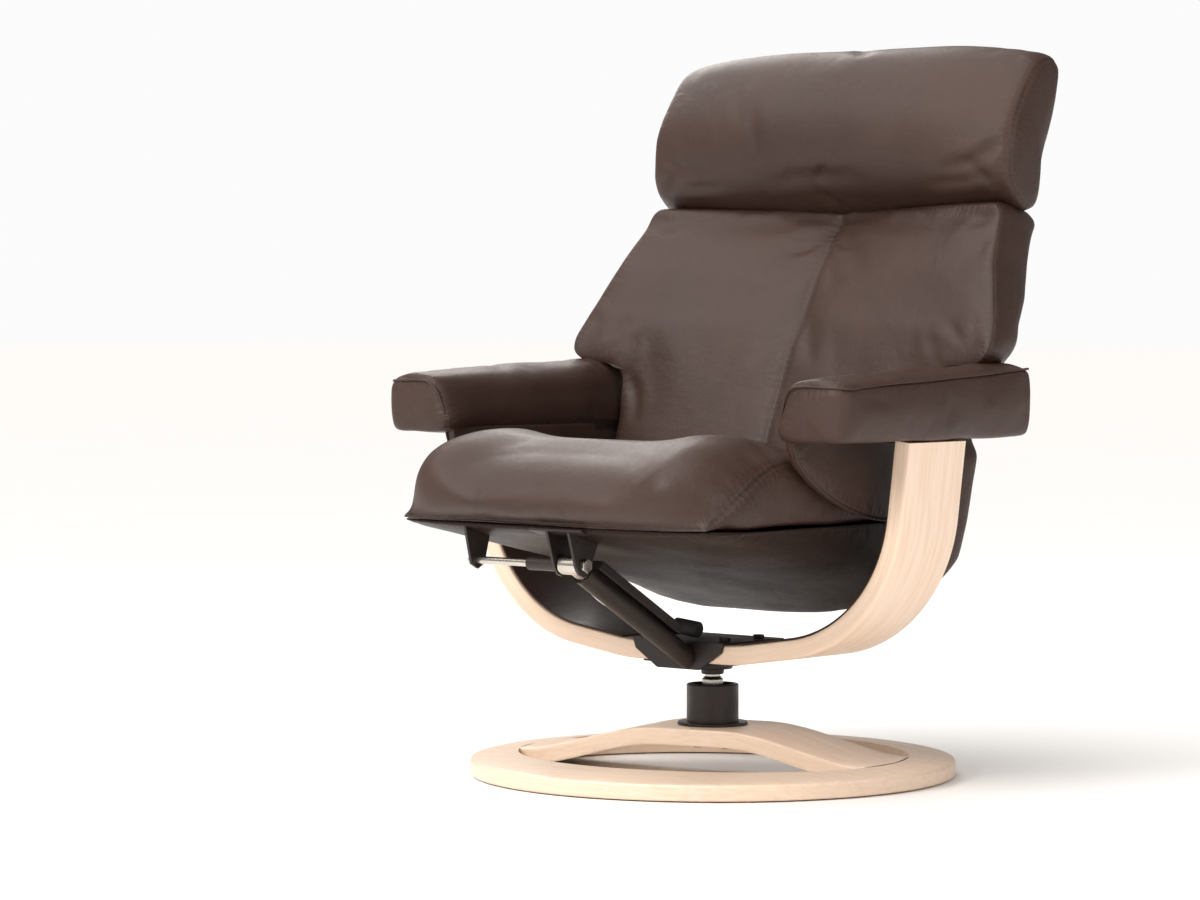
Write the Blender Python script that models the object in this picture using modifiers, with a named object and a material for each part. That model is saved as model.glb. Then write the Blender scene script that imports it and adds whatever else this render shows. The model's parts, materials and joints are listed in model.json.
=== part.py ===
"""Reclining leather armchair on a round laminated-birch base.

Metres, +Z up, front of the chair towards -Y, the sitter's left towards +X.
The origin is on the floor, on the swivel axis.
"""
import math

import bmesh
import bpy
from mathutils import Matrix, Vector

# ------------------------------------------------------------ driving dimensions
GAP = 0.0003                      # air between pieces that touch
RUN = 0.0004                      # radial clearance of a running pin

# floor ring and bridge
GLIDE_HEIGHT = 0.002
RING_RADIUS = 0.325
RING_EDGE_TOP = 0.0225            # top of the ring at its outer edge
RING_TOP = 0.030                  # top of the ring at its opening
OPENING_LONG = 0.268              # half axes of the oval opening
OPENING_SHORT = 0.235
BASE_TURN = math.radians(14)      # the ring turns freely under the chair
BRIDGE_HALF_WIDTH = 0.074
BRIDGE_THICKNESS = 0.023
BRIDGE_CROWN = 0.0665             # top of the bridge under the column
BRIDGE_END = 0.029

# swivel column
CUP_RADIUS = 0.035
CUP_TOP = 0.1215
FLANGE_RADIUS = 0.047
FLANGE_THICKNESS = 0.004
CUP_FLOOR = 0.079
BUSH_BORE = 0.0150
SPINDLE_RADIUS = BUSH_BORE - RUN
HUB_BOTTOM = 0.134

# U-shaped leg frame, one bent lamination
LEG_THICKNESS = 0.025
LEG_FRONT = -0.068
LEG_BACK = 0.052
LEG_BASE = 0.155                  # underside of the flat middle
LEG_FLAT = 0.095                  # half length of the flat middle
LEG_LEAN = math.radians(7.0)      # outward lean of the uprights
LEG_CORNER = (0.3386, 0.2032)     # where the two straight centre lines would meet
LEG_RADIUS = 0.200
LEG_KNEE = 0.250                  # bend radius at the ends of the flat middle
LEG_TOP = 0.4552
LINER = 0.0030                    # leather on the inner faces

# armrests
ARM_BOARD = (0.4555, 0.4705)      # bottom and top of the plywood board
ARM_TOP = 0.545
ARM_INNER = 0.295
ARM_OUTER = 0.395
ARM_FRONT = -0.222
ARM_BACK = 0.176
PANEL_X = (0.2885, 0.3045)        # hanging inner panel

# pivots in the YZ plane
RECLINE = (0.185, 0.470)          # back on the arms
SEAT_HINGE = (0.150, 0.320)       # seat on the back
FRONT_PIVOT = (-0.298, 0.295)     # seat on the glide rod
TUBE_FOOT = (-0.0726, 0.1625)     # glide tube on the centre bracket
TUBE_X = 0.015
TUBE_RADIUS = 0.014
TUBE_BORE = 0.0105
ROD_RADIUS = 0.0100

# seat
SEAT_HALF = 0.281
PAN_HALF_TOP = 0.278
PAN_HALF_BOTTOM = 0.200
PAN_WALL = 0.004
SEAT_RAIL_X = 0.2485
SEAT_RAIL_RADIUS = 0.011

# back
BACK_HALF_LOW = 0.275             # between the arms
BACK_PAD = 0.042                  # depth of the front cushion, along Y
COVER_WALL = 0.004
BACK_RAIL_X = 0.245
BACK_RAIL_RADIUS = 0.008
LUG_X = (0.2510, 0.2573)
SEAT_LUG_X = (0.2578, 0.2618)
PIVOT_PLATE_X = (0.2835, 0.2875)

# headrest
HEAD_LEAN = math.radians(19)
HEAD_PIVOT = (0.2925, 0.790)
HEAD_HALF = 0.315
POST_X = 0.090
POST_RADIUS = 0.005
GUIDE_RADIUS = 0.009

# side outlines (y, z)
BACK_FACE = [(0.085, 0.345), (0.098, 0.400), (0.116, 0.453), (0.140, 0.512),
             (0.166, 0.572), (0.194, 0.618), (0.228, 0.679)]
BACK_REAR = [(0.299, 0.698), (0.286, 0.635), (0.266, 0.557), (0.235, 0.490),
             (0.204, 0.436), (0.184, 0.344), (0.171, 0.285), (0.148, 0.262),
             (0.128, 0.260)]

FACE_DISH = [(0.470, 0.0), (0.560, 0.026), (0.650, 0.042), (0.750, 0.050)]
REAR_SWEEP = [(0.500, 0.070), (0.560, 0.070), (0.640, 0.040), (0.740, 0.0)]

BIRCH = ("birch_ply", (0.86, 0.70, 0.54), 0.42, 0.0)
BLACK = ("black_steel", (0.030, 0.024, 0.022), 0.45, 0.6)
ZINC = ("zinc_steel", (0.62, 0.60, 0.56), 0.30, 1.0)
LEATHER = ("brown_leather", (0.072, 0.046, 0.039), 0.42, 0.0)
CLOTH = ("black_cloth", (0.020, 0.018, 0.018), 0.90, 0.0)
PLASTIC = ("black_plastic", (0.025, 0.025, 0.025), 0.50, 0.0)
RUBBER = ("black_rubber", (0.020, 0.020, 0.020), 0.75, 0.0)
PLY = ("core_ply", (0.62, 0.46, 0.30), 0.60, 0.0)

ALONG_X = Matrix(((0, 0, 1, 0), (1, 0, 0, 0), (0, 1, 0, 0), (0, 0, 0, 1)))
ALONG_Y = Matrix(((1, 0, 0, 0), (0, 0, -1, 0), (0, 1, 0, 0), (0, 0, 0, 1)))
ALONG_Z = Matrix.Identity(4)


# ------------------------------------------------------------ scene and helpers
for old in list(bpy.data.objects):
    bpy.data.objects.remove(old, do_unlink=True)

PARTS = bpy.data.collections.new("recliner_armchair")
CUTTERS = bpy.data.collections.new("cutters")
for group in (PARTS, CUTTERS):
    bpy.context.scene.collection.children.link(group)


def material(finish):
    """One Principled material, shared by the pieces with that finish."""
    name, colour, roughness, metallic = finish
    found = bpy.data.materials.get(name)
    if found:
        return found
    made = bpy.data.materials.new(name)
    made.use_nodes = True
    shader = made.node_tree.nodes["Principled BSDF"]
    shader.inputs["Base Color"].default_value = (*colour, 1.0)
    shader.inputs["Roughness"].default_value = roughness
    shader.inputs["Metallic"].default_value = metallic
    made.diffuse_color = (*colour, 1.0)
    return made


def add(name, mesh, finish, matrix=ALONG_Z):
    """Put a mesh in the parts collection as one named piece."""
    mesh.name = name
    mesh.materials.clear()
    mesh.materials.append(material(finish))
    piece = bpy.data.objects.new(name, mesh)
    piece.matrix_world = matrix
    PARTS.objects.link(piece)
    return piece


def as_cutter(piece):
    """Move a piece to the cutters, where it only shapes others."""
    for group in list(piece.users_collection):
        group.objects.unlink(piece)
    CUTTERS.objects.link(piece)
    piece.hide_render = True
    piece.display_type = "WIRE"
    return piece


def combine(piece, other, operation):
    """Boolean with another piece, which becomes a cutter."""
    as_cutter(other)
    step = piece.modifiers.new(operation.lower(), "BOOLEAN")
    step.operation = operation
    step.solver = "EXACT"
    step.object = other
    return piece


def round_edges(piece, width, segments=2, angle=35):
    step = piece.modifiers.new("round", "BEVEL")
    step.width = width
    step.segments = segments
    step.limit_method = "ANGLE"
    step.angle_limit = math.radians(angle)
    return piece


def finished_mesh(piece):
    """The piece's evaluated mesh, welded; the piece itself is removed."""
    bpy.context.view_layer.update()
    graph = bpy.context.evaluated_depsgraph_get()
    mesh = bpy.data.meshes.new_from_object(piece.evaluated_get(graph))
    bpy.data.objects.remove(piece, do_unlink=True)
    work = bmesh.new()
    work.from_mesh(mesh)
    bmesh.ops.remove_doubles(work, verts=work.verts, dist=0.00002)
    bmesh.ops.recalc_face_normals(work, faces=work.faces)
    work.to_mesh(mesh)
    work.free()
    return mesh


def flat(name, outline, span, finish, matrix=ALONG_Z):
    """A flat outline given a thickness that runs from span[0] to span[1]."""
    curve = bpy.data.curves.new(name, "CURVE")
    curve.dimensions = "2D"
    curve.fill_mode = "BOTH"
    curve.extrude = (span[1] - span[0]) / 2
    spline = curve.splines.new("POLY")
    spline.points.add(len(outline) - 1)
    for point, (u, v) in zip(spline.points, outline):
        point.co = (u, v, 0, 1)
    spline.use_cyclic_u = True
    shape = bpy.data.objects.new(name, curve)
    PARTS.objects.link(shape)
    centre = Matrix.Translation((0, 0, (span[0] + span[1]) / 2))
    return add(name, finished_mesh(shape), finish, matrix @ centre)


def box(name, low, high, finish):
    """A box between two corners."""
    mesh = bpy.data.meshes.new(name)
    work = bmesh.new()
    bmesh.ops.create_cube(work, size=1.0)
    size = [high[k] - low[k] for k in range(3)]
    bmesh.ops.scale(work, vec=size, verts=work.verts)
    work.to_mesh(mesh)
    work.free()
    middle = [(high[k] + low[k]) / 2 for k in range(3)]
    return add(name, mesh, finish, Matrix.Translation(middle))


def cylinder(name, start, end, radius, finish, sides=24):
    """A cylinder from one point to another."""
    start = Vector(start)
    end = Vector(end)
    mesh = bpy.data.meshes.new(name)
    work = bmesh.new()
    bmesh.ops.create_cone(work, cap_ends=True, segments=sides, radius1=radius,
                          radius2=radius, depth=(end - start).length)
    work.to_mesh(mesh)
    work.free()
    turn = (end - start).to_track_quat("Z", "Y").to_matrix().to_4x4()
    return add(name, mesh, finish, Matrix.Translation((start + end) / 2) @ turn)


def turned(name, profile, finish, sides=48, closed=False):
    """A profile (radius, height) turned about the swivel axis."""
    mesh = bpy.data.meshes.new(name)
    work = bmesh.new()
    corners = [work.verts.new((r, 0, z)) for r, z in profile]
    for first, second in zip(corners, corners[1:]):
        work.edges.new((first, second))
    if closed:
        work.edges.new((corners[-1], corners[0]))
    work.to_mesh(mesh)
    work.free()
    piece = add(name, mesh, finish)
    step = piece.modifiers.new("turn", "SCREW")
    step.steps = sides
    step.render_steps = sides
    step.use_merge_vertices = True
    step.merge_threshold = 0.00001
    return piece


def tube(name, path, radius, finish, closed=False, fine=3):
    """A round bar or closed-ended tube along a path of points."""
    curve = bpy.data.curves.new(name, "CURVE")
    curve.dimensions = "3D"
    curve.bevel_depth = radius
    curve.bevel_resolution = fine
    curve.use_fill_caps = not closed
    spline = curve.splines.new("POLY")
    spline.points.add(len(path) - 1)
    for point, place in zip(spline.points, path):
        point.co = (*place, 1)
    spline.use_cyclic_u = closed
    shape = bpy.data.objects.new(name, curve)
    PARTS.objects.link(shape)
    return add(name, finished_mesh(shape), finish)


def rounded(corners, radii, steps=5):
    """An open path whose inner corners are replaced by arcs, one radius each."""
    path = [Vector(corners[0])]
    for before, here, after, radius in zip(corners, corners[1:], corners[2:], radii):
        here = Vector(here)
        back = (Vector(before) - here).normalized()
        ahead = (Vector(after) - here).normalized()
        half = back.angle(ahead) / 2
        reach = radius / math.tan(half)
        centre = here + (back + ahead).normalized() * radius / math.sin(half)
        first = here + back * reach - centre
        last = here + ahead * reach - centre
        for k in range(steps + 1):
            path.append(centre + first.slerp(last, k / steps) * radius)
    path.append(Vector(corners[-1]))
    return path


def capsule(first, second, r_first, r_second, steps=8):
    """Outline of a flat link: two round ends and their common tangents."""
    a = Vector(first)
    b = Vector(second)
    heading = math.atan2(b.y - a.y, b.x - a.x)
    flare = math.acos((r_first - r_second) / (b - a).length)
    outline = []
    for k in range(steps + 1):
        angle = heading - flare + 2 * flare * k / steps
        outline.append((b.x + r_second * math.cos(angle), b.y + r_second * math.sin(angle)))
    for k in range(steps + 1):
        angle = heading + flare + (2 * math.pi - 2 * flare) * k / steps
        outline.append((a.x + r_first * math.cos(angle), a.y + r_first * math.sin(angle)))
    return outline


def ellipse(long_half, short_half, count=96):
    turns = [2 * math.pi * k / count for k in range(count)]
    return [(long_half * math.cos(t), short_half * math.sin(t)) for t in turns]


def drill(piece, start, end, radius, sides=24):
    """A round hole through a piece."""
    return combine(piece, cylinder("drill", start, end, radius, BLACK, sides), "DIFFERENCE")


def profiled(name, side, front, finish, dish=None):
    """A solid with one outline from the side (y, z) and one from the front (x, z)."""
    piece = flat(name, side, (-0.5, 0.5), finish, ALONG_X)
    if dish:
        dished(piece, dish)
    other = flat(name + "_front", front, (-0.6, 0.6), finish, ALONG_Y)
    return combine(piece, other, "INTERSECT")


def dished(piece, dish):
    """Cut the side outline's solid into slices along X and move their corners along Y."""
    piece.data.transform(piece.matrix_world)
    piece.matrix_world = ALONG_Z
    work = bmesh.new()
    work.from_mesh(piece.data)
    for k in range(-7, 8):
        everything = work.verts[:] + work.edges[:] + work.faces[:]
        bmesh.ops.bisect_plane(work, geom=everything, plane_co=(0.055 * k, 0, 0),
                               plane_no=(1, 0, 0), dist=0.00001)
    bmesh.ops.triangulate(work, faces=work.faces)
    for corner in work.verts:
        corner.co.y -= dish(*corner.co)
    work.to_mesh(piece.data)
    work.free()


def along_table(value, table):
    """Linear interpolation in a table of (place, amount)."""
    if value <= table[0][0]:
        return table[0][1]
    for (low, first), (high, last) in zip(table, table[1:]):
        if value <= high:
            return first + (last - first) * (value - low) / (high - low)
    return table[-1][1]


def mirrored(points):
    """A front outline made whole from its right half, listed bottom to top."""
    return points + [(-x, z) for x, z in reversed(points)]


def bolt(name, foot, head, shank, head_radius, head_height, finish=ZINC):
    """A hexagon-headed bolt: shank from foot to head, head beyond it."""
    foot = Vector(foot)
    head = Vector(head)
    up = (head - foot).normalized()
    piece = cylinder(name, foot, head + up * head_height / 2, shank, finish, 16)
    cap = cylinder(name + "_cap", head, head + up * head_height, head_radius, finish, 6)
    return combine(piece, cap, "UNION")


# ------------------------------------------------------------ floor ring
def base():
    turn = Matrix.Rotation(BASE_TURN, 4, "Z")
    for number in range(4):
        angle = BASE_TURN + math.radians(90 * number + 45)
        place = Vector((0.288 * math.cos(angle), 0.288 * math.sin(angle), 0))
        top = Vector((0, 0, GLIDE_HEIGHT - GAP))
        cylinder(f"floor_glide_{number + 1}", place, place + top, 0.012, PLASTIC, 20)

    ring = turned("base_ring", [
        (0.215, RING_TOP), (0.236, RING_TOP), (0.275, 0.0282), (0.305, 0.0255),
        (0.318, 0.0238), (RING_RADIUS - 0.002, RING_EDGE_TOP), (RING_RADIUS, RING_EDGE_TOP - 0.003),
        (RING_RADIUS, GLIDE_HEIGHT + 0.002), (RING_RADIUS - 0.002, GLIDE_HEIGHT),
        (0.215, GLIDE_HEIGHT)], BIRCH, 96, closed=True)
    hole = flat("ring_opening", ellipse(OPENING_LONG, OPENING_SHORT), (-0.05, 0.10), BIRCH, turn)
    combine(ring, hole, "DIFFERENCE")

    def bridge_top(s):
        part = min(max((abs(s) - 0.048) / (OPENING_LONG - 0.056), 0.0), 1.0)
        return BRIDGE_CROWN + (BRIDGE_END - BRIDGE_CROWN) * part * part * (3 - 2 * part)

    stations = [0.29 * (k / 20 - 1) for k in range(41)]
    top = [(s, bridge_top(s)) for s in stations]
    under = [(s, z - BRIDGE_THICKNESS) for s, z in reversed(top)]
    width = (-BRIDGE_HALF_WIDTH, BRIDGE_HALF_WIDTH)
    bridge = flat("base_bridge", top + under, width, BIRCH, turn @ ALONG_Y)
    round_edges(bridge, 0.0025)
    fit = flat("bridge_ends", ellipse(OPENING_LONG - GAP, OPENING_SHORT - GAP),
               (-0.05, 0.10), BIRCH, turn)
    combine(bridge, fit, "INTERSECT")

    plate_top = BRIDGE_CROWN - BRIDGE_THICKNESS - GAP
    plate = cylinder("crown_plate", (0, 0, plate_top - 0.003), (0, 0, plate_top), 0.040, BLACK, 32)
    cup_foot = BRIDGE_CROWN + GAP
    cup = turned("column_cup", [
        (0.0, CUP_FLOOR), (BUSH_BORE + 0.0140, CUP_FLOOR), (BUSH_BORE + 0.0140, CUP_TOP - 0.001),
        (BUSH_BORE + 0.0150, CUP_TOP), (CUP_RADIUS - 0.0015, CUP_TOP), (CUP_RADIUS, CUP_TOP - 0.0015),
        (CUP_RADIUS, cup_foot + FLANGE_THICKNESS), (FLANGE_RADIUS - 0.001, cup_foot + FLANGE_THICKNESS),
        (FLANGE_RADIUS, cup_foot + FLANGE_THICKNESS - 0.001), (FLANGE_RADIUS, cup_foot),
        (0.0, cup_foot)], BLACK)
    for number, side in enumerate((-1, 1)):
        at = turn @ Vector((0.021 * side, 0, 0))
        low = Vector((at.x, at.y, plate_top - 0.003 - GAP))
        high = Vector((at.x, at.y, CUP_FLOOR - 0.004))
        bolt(f"crown_bolt_{number + 1}", high, low, 0.004, 0.0075, 0.005, BLACK)
        for piece in (plate, bridge, cup):
            drill(piece, low - Vector((0, 0, 0.01)), high + Vector((0, 0, GAP)), 0.0044, 16)

    turned("bearing_bush", [
        (BUSH_BORE, CUP_FLOOR + GAP), (BUSH_BORE, 0.1155), (BUSH_BORE + 0.0137, 0.1155),
        (BUSH_BORE + 0.0137, CUP_FLOOR + GAP)], PLASTIC, closed=True)


# ------------------------------------------------------------ swivelling frame
def offset(path, distance):
    """A path in the XZ plane moved sideways, to the left of its heading."""
    moved = []
    for k, here in enumerate(path):
        heading = (path[min(k + 1, len(path) - 1)] - path[max(k - 1, 0)]).normalized()
        moved.append((here.x - heading.z * distance, here.z + heading.x * distance))
    return moved


def leg_line():
    """Centre line of the U-shaped leg frame, from the right upright to the left one."""
    corner = Vector((LEG_CORNER[0], 0, LEG_CORNER[1]))
    knee = Vector((LEG_FLAT, 0, LEG_BASE + LEG_THICKNESS / 2))
    up = Vector((math.sin(LEG_LEAN), 0, math.cos(LEG_LEAN)))
    top = corner + up * ((LEG_TOP + 0.02 - corner.z) / up.z)
    half = [knee, corner, top]
    other = [Vector((-p.x, 0, p.z)) for p in reversed(half)]
    return rounded(other + half, [LEG_RADIUS, LEG_KNEE, LEG_KNEE, LEG_RADIUS], 12)


def chassis():
    line = leg_line()
    inner = offset(line, LEG_THICKNESS / 2)
    outer = offset(line, -LEG_THICKNESS / 2)
    leg = flat("leg_frame", inner + list(reversed(outer)), (-LEG_BACK, -LEG_FRONT), BIRCH, ALONG_Y)
    round_edges(leg, 0.0025)
    above = box("leg_ends", (-0.6, -0.2, LEG_TOP), (0.6, 0.2, 0.6), BIRCH)
    combine(leg, above, "DIFFERENCE")

    under_top = LEG_BASE - GAP
    under = box("under_plate", (-0.072, -0.058, under_top - 0.003), (0.072, 0.045, under_top), BLACK)
    plate_z = LEG_BASE + LEG_THICKNESS + GAP
    bracket = box("centre_bracket", (-0.078, LEG_FRONT - 0.0043, plate_z),
                  (0.078, 0.055, plate_z + 0.003), BLACK)
    apron = flat("apron", [(-0.036, 0.146), (0.036, 0.146), (0.074, 0.170), (0.078, plate_z + 0.001),
                           (0.078, plate_z + 0.003), (-0.078, plate_z + 0.003),
                           (-0.078, plate_z + 0.001), (-0.074, 0.170)],
                 (-LEG_FRONT + GAP, -LEG_FRONT + 0.0043), BLACK, ALONG_Y)
    combine(bracket, apron, "UNION")
    number = 0
    for x in (-0.055, 0.055):
        for y in (-0.040, 0.030):
            number += 1
            head = (x, y, plate_z + 0.003 + GAP)
            foot = (x, y, under_top - 0.002)
            bolt(f"bracket_bolt_{number}", foot, head, 0.004, 0.0075, 0.0045, BLACK)
            for piece in (bracket, leg):
                drill(piece, (x, y, 0.14), (x, y, 0.20), 0.0044, 16)
            drill(under, (x, y, 0.14), (x, y, 0.20), 0.0044, 16)

    turned("swivel_hub", [
        (0.0, under_top - 0.003 - GAP), (0.027, under_top - 0.003 - GAP), (0.027, 0.1425),
        (0.0255, 0.1415), (0.0158, 0.1415), (0.0152, 0.1355), (0.0142, HUB_BOTTOM + GAP),
        (0.0, HUB_BOTTOM + GAP)], BLACK, 32)
    turned("swivel_spindle", [
        (0.0, HUB_BOTTOM), (0.0105, HUB_BOTTOM), (0.0105, 0.1315), (SPINDLE_RADIUS, 0.1270),
        (SPINDLE_RADIUS, 0.0845), (SPINDLE_RADIUS - 0.001, 0.0835), (0.0, 0.0835)], ZINC, 48)

    foot = Vector((TUBE_X, TUBE_FOOT[0], TUBE_FOOT[1]))
    pivot = Vector((TUBE_X, FRONT_PIVOT[0], FRONT_PIVOT[1]))
    along = (pivot - foot).normalized()
    above = Vector((0, -along.z, along.y)) * -1
    mouth = foot + along * 0.238
    glide = cylinder("glide_tube", foot - along * 0.03, mouth, TUBE_RADIUS, BLACK)
    drill(glide, foot + along * 0.02, mouth + along * 0.02, TUBE_BORE)
    behind = box("tube_mitre", (-0.1, LEG_FRONT - 0.0043 - GAP, 0.05), (0.1, 0.2, 0.35), BLACK)
    combine(glide, behind, "DIFFERENCE")
    bar_low = foot + along * 0.036 + above * (TUBE_RADIUS + 0.0072)
    bar_high = foot + along * 0.222 + above * (TUBE_RADIUS + 0.0072)
    bar = box("lock_bar", (-0.011, -0.0068, -0.5), (0.011, 0.0068, 0.5), BLACK)
    bar.matrix_world = (Matrix.Translation((bar_low + bar_high) / 2)
                        @ along.to_track_quat("Z", "X").to_matrix().to_4x4()
                        @ Matrix.Rotation(math.pi / 2, 4, "Z"))
    for corner in bar.data.vertices:
        corner.co.z *= (bar_high - bar_low).length
    round_edges(bar, 0.002)
    buffer_low = Vector((-0.026, -0.046, 0.2010))
    stop = cylinder("stop_buffer", buffer_low, buffer_low + Vector((0.040, 0.002, -0.0045)),
                    0.0108, RUBBER, 20)
    round_edges(stop, 0.002, 1)

    for side, word in ((1, "left"), (-1, "right")):
        arm(side, word, line, leg)
    return foot, along


def arm(side, word, line, leg):
    """Everything that one armrest adds to the swivelling frame."""
    def sided(low, high):
        pair = sorted((low * side, high * side))
        return pair[0], pair[1]

    last = len(line) - 1
    lined = [p for p in line[:last] if p.x > 0.10]
    lined.append(line[last] + (line[last - 1] - line[last]).normalized() * 0.026)
    near = offset(lined, LEG_THICKNESS / 2 + GAP)
    far = offset(lined, LEG_THICKNESS / 2 + LINER)
    outline = [(x * side, z) for x, z in near + list(reversed(far))]
    flat(f"leg_liner_{word}", outline, (-LEG_BACK + 0.002, -LEG_FRONT - 0.002), LEATHER, ALONG_Y)

    low, high = sided(0.3055, 0.388)
    board = box(f"arm_board_{word}", (low, ARM_FRONT + 0.03, ARM_BOARD[0]),
                (high, ARM_BACK - 0.02, ARM_BOARD[1]), PLY)
    bolt_x = 0.3680 * side
    bolt(f"arm_bolt_{word}", (bolt_x, -0.008, 0.405), (bolt_x, -0.008, ARM_BOARD[1] - 0.005),
         0.004, 0.0075, 0.0045)
    drill(board, (bolt_x, -0.008, 0.40), (bolt_x, -0.008, 0.50), 0.0044, 16)
    drill(board, (bolt_x, -0.008, ARM_BOARD[1] - 0.005 - GAP), (bolt_x, -0.008, 0.50), 0.009, 16)
    drill(leg, (bolt_x, -0.008, 0.403), (bolt_x, -0.008, 0.50), 0.0044, 16)

    section = [(ARM_INNER, 0.500), (ARM_INNER + 0.004, 0.525), (ARM_INNER + 0.026, 0.541),
               (ARM_INNER + 0.050, ARM_TOP), (ARM_OUTER - 0.022, 0.541), (ARM_OUTER - 0.003, 0.529),
               (ARM_OUTER, 0.505), (ARM_OUTER, ARM_BOARD[1] + GAP), (ARM_INNER, ARM_BOARD[1] + GAP)]
    pad = flat(f"armrest_{word}", [(x * side, z) for x, z in section],
               (-ARM_BACK, -ARM_FRONT), LEATHER, ALONG_Y)
    round_edges(pad, 0.010, 2, 60)

    sheet = [(-0.198, 0.4515), (-0.190, 0.430), (-0.160, 0.402), (-0.108, 0.375), (-0.030, 0.354),
             (0.040, 0.356), (0.098, 0.385), (0.130, 0.425), (0.138, 0.4515)]
    panel = flat(f"arm_panel_{word}", sheet, sided(*PANEL_X), LEATHER, ALONG_X)
    round_edges(panel, 0.004, 1, 60)

    plate = flat(f"pivot_plate_{word}", capsule((0.000, 0.470), RECLINE, 0.015, 0.017),
                 sided(*PIVOT_PLATE_X), BLACK, ALONG_X)
    low, high = sided(PIVOT_PLATE_X[0], 0.340)
    flange = box("flange", (low, -0.030, 0.4522), (high, 0.090, 0.4552), BLACK)
    combine(plate, flange, "UNION")
    drill(plate, (0.27 * side, *RECLINE), (0.30 * side, *RECLINE), 0.006 + RUN)


# ------------------------------------------------------------ glide rod
def glide_rod(foot, along):
    pivot = Vector((TUBE_X, FRONT_PIVOT[0], FRONT_PIVOT[1]))
    rod = cylinder("glide_rod", foot + along * 0.150, pivot, ROD_RADIUS, ZINC)
    eye = cylinder("eye", pivot - Vector((0.0148, 0, 0)), pivot + Vector((0.0148, 0, 0)),
                   0.0125, ZINC)
    combine(rod, eye, "UNION")
    drill(rod, pivot - Vector((0.03, 0, 0)), pivot + Vector((0.03, 0, 0)), 0.0072)


# ------------------------------------------------------------ seat
def seat():
    cushion = flat("seat_cushion", [
        (0.060, 0.347), (0.076, 0.366), (0.090, 0.405), (0.076, 0.426), (0.020, 0.423),
        (-0.050, 0.424), (-0.130, 0.437), (-0.200, 0.452), (-0.250, 0.456), (-0.300, 0.443),
        (-0.341, 0.412), (-0.343, 0.380), (-0.321, 0.353), (-0.270, 0.347), (-0.100, 0.347)],
        (-SEAT_HALF, SEAT_HALF), LEATHER, ALONG_X)
    round_edges(cushion, 0.014, 2, 60)

    side = [(-0.322, 0.3415), (-0.222, 0.311), (-0.142, 0.290), (0.000, 0.248), (0.100, 0.213),
            (0.074, 0.3450), (-0.322, 0.3450)]
    front = mirrored([(PAN_HALF_BOTTOM, 0.205), (0.236, 0.255), (PAN_HALF_TOP, 0.310),
                      (PAN_HALF_TOP, 0.3457)])
    pan = profiled("seat_pan", side, front, CLOTH)
    wall = PAN_WALL
    inside = profiled("pan_inside",
                      [(-0.300, 0.3400), (-0.220, 0.3155), (-0.141, 0.2945), (0.001, 0.2525),
                       (0.0945, 0.2195), (0.0710, 0.3400), (0.0710, 0.40), (-0.300, 0.40)],
                      mirrored([(PAN_HALF_BOTTOM - wall, 0.200), (0.236 - wall, 0.254),
                                (PAN_HALF_TOP - wall, 0.310), (PAN_HALF_TOP - wall, 0.42)]),
                      CLOTH)
    combine(pan, inside, "DIFFERENCE")
    for side in (-1, 1):
        low, high = sorted((0.2520 * side, 0.2665 * side))
        combine(pan, box("lug_slot", (low, 0.05, 0.300), (high, 0.12, 0.36), CLOTH), "DIFFERENCE")

    rail = SEAT_RAIL_X
    z = 0.3320
    loop = rounded([(0, 0.030, z), (rail, 0.030, z), (rail, -0.215, z), (-rail, -0.215, z),
                    (-rail, 0.030, z), (0, 0.030, z)], [0.030] * 4, 4)
    frame = tube("seat_frame", loop[:-1], SEAT_RAIL_RADIUS, BLACK, closed=True)
    for side in (-1, 1):
        span = sorted((SEAT_LUG_X[0] * side, SEAT_LUG_X[1] * side))
        lug = flat("lug", capsule((0.000, z), SEAT_HINGE, 0.011, 0.0115), span, BLACK, ALONG_X)
        drill(lug, (0.24 * side, *SEAT_HINGE), (0.28 * side, *SEAT_HINGE), 0.005 + RUN, 20)
        combine(frame, lug, "UNION")

    spring_path = []
    rows = 4
    waves = 9
    for row in range(rows):
        y = -0.150 + 0.050 * row
        across = [(-0.205 + 0.41 * k / (2 * waves), y + (0.014 if k % 2 else -0.014), z)
                  for k in range(2 * waves + 1)]
        spring_path += across if row % 2 == 0 else list(reversed(across))
    tube("seat_spring", spring_path, 0.0018, ZINC, fine=1)

    ear = [(-0.328, 0.3432), (-0.313, 0.2930), (-0.306, 0.2830), (-0.298, 0.2800),
           (-0.289, 0.2840), (-0.270, 0.3230)]
    pair = []
    for low in (TUBE_X - 0.0205, TUBE_X + 0.0165):
        pair.append(flat("ear", ear, (low, low + 0.004), BLACK, ALONG_X))
    fork = flat("front_fork", [(-0.331, 0.3410), (-0.331, 0.3438), (-0.2705, 0.3253), (-0.2705, 0.3225)],
                (TUBE_X - 0.045, TUBE_X + 0.045), BLACK, ALONG_X)
    fork.location += Vector((0, 0, -0.0010))
    for plate in pair:
        combine(fork, plate, "UNION")
    y, z = FRONT_PIVOT
    drill(fork, (TUBE_X - 0.03, y, z), (TUBE_X + 0.03, y, z), 0.0053, 20)
    shaft = bolt("front_shaft", (-0.165, y, z), (TUBE_X + 0.0210, y, z), 0.005, 0.0095, 0.0065)
    round_edges(shaft, 0.0006, 1)
    sleeve = cylinder("shaft_sleeve", (-0.058, y, z), (TUBE_X - 0.0210, y, z), 0.0092, BLACK)
    drill(sleeve, (-0.08, y, z), (0.02, y, z), 0.0053, 20)
    lug = flat("shaft_lug", [(-0.322, 0.3395), (-0.310, 0.290), (-0.298, 0.2835), (-0.286, 0.290),
                             (-0.276, 0.3255)], (-0.154, -0.150), BLACK, ALONG_X)
    drill(lug, (-0.17, y, z), (-0.14, y, z), 0.0053, 20)


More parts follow.
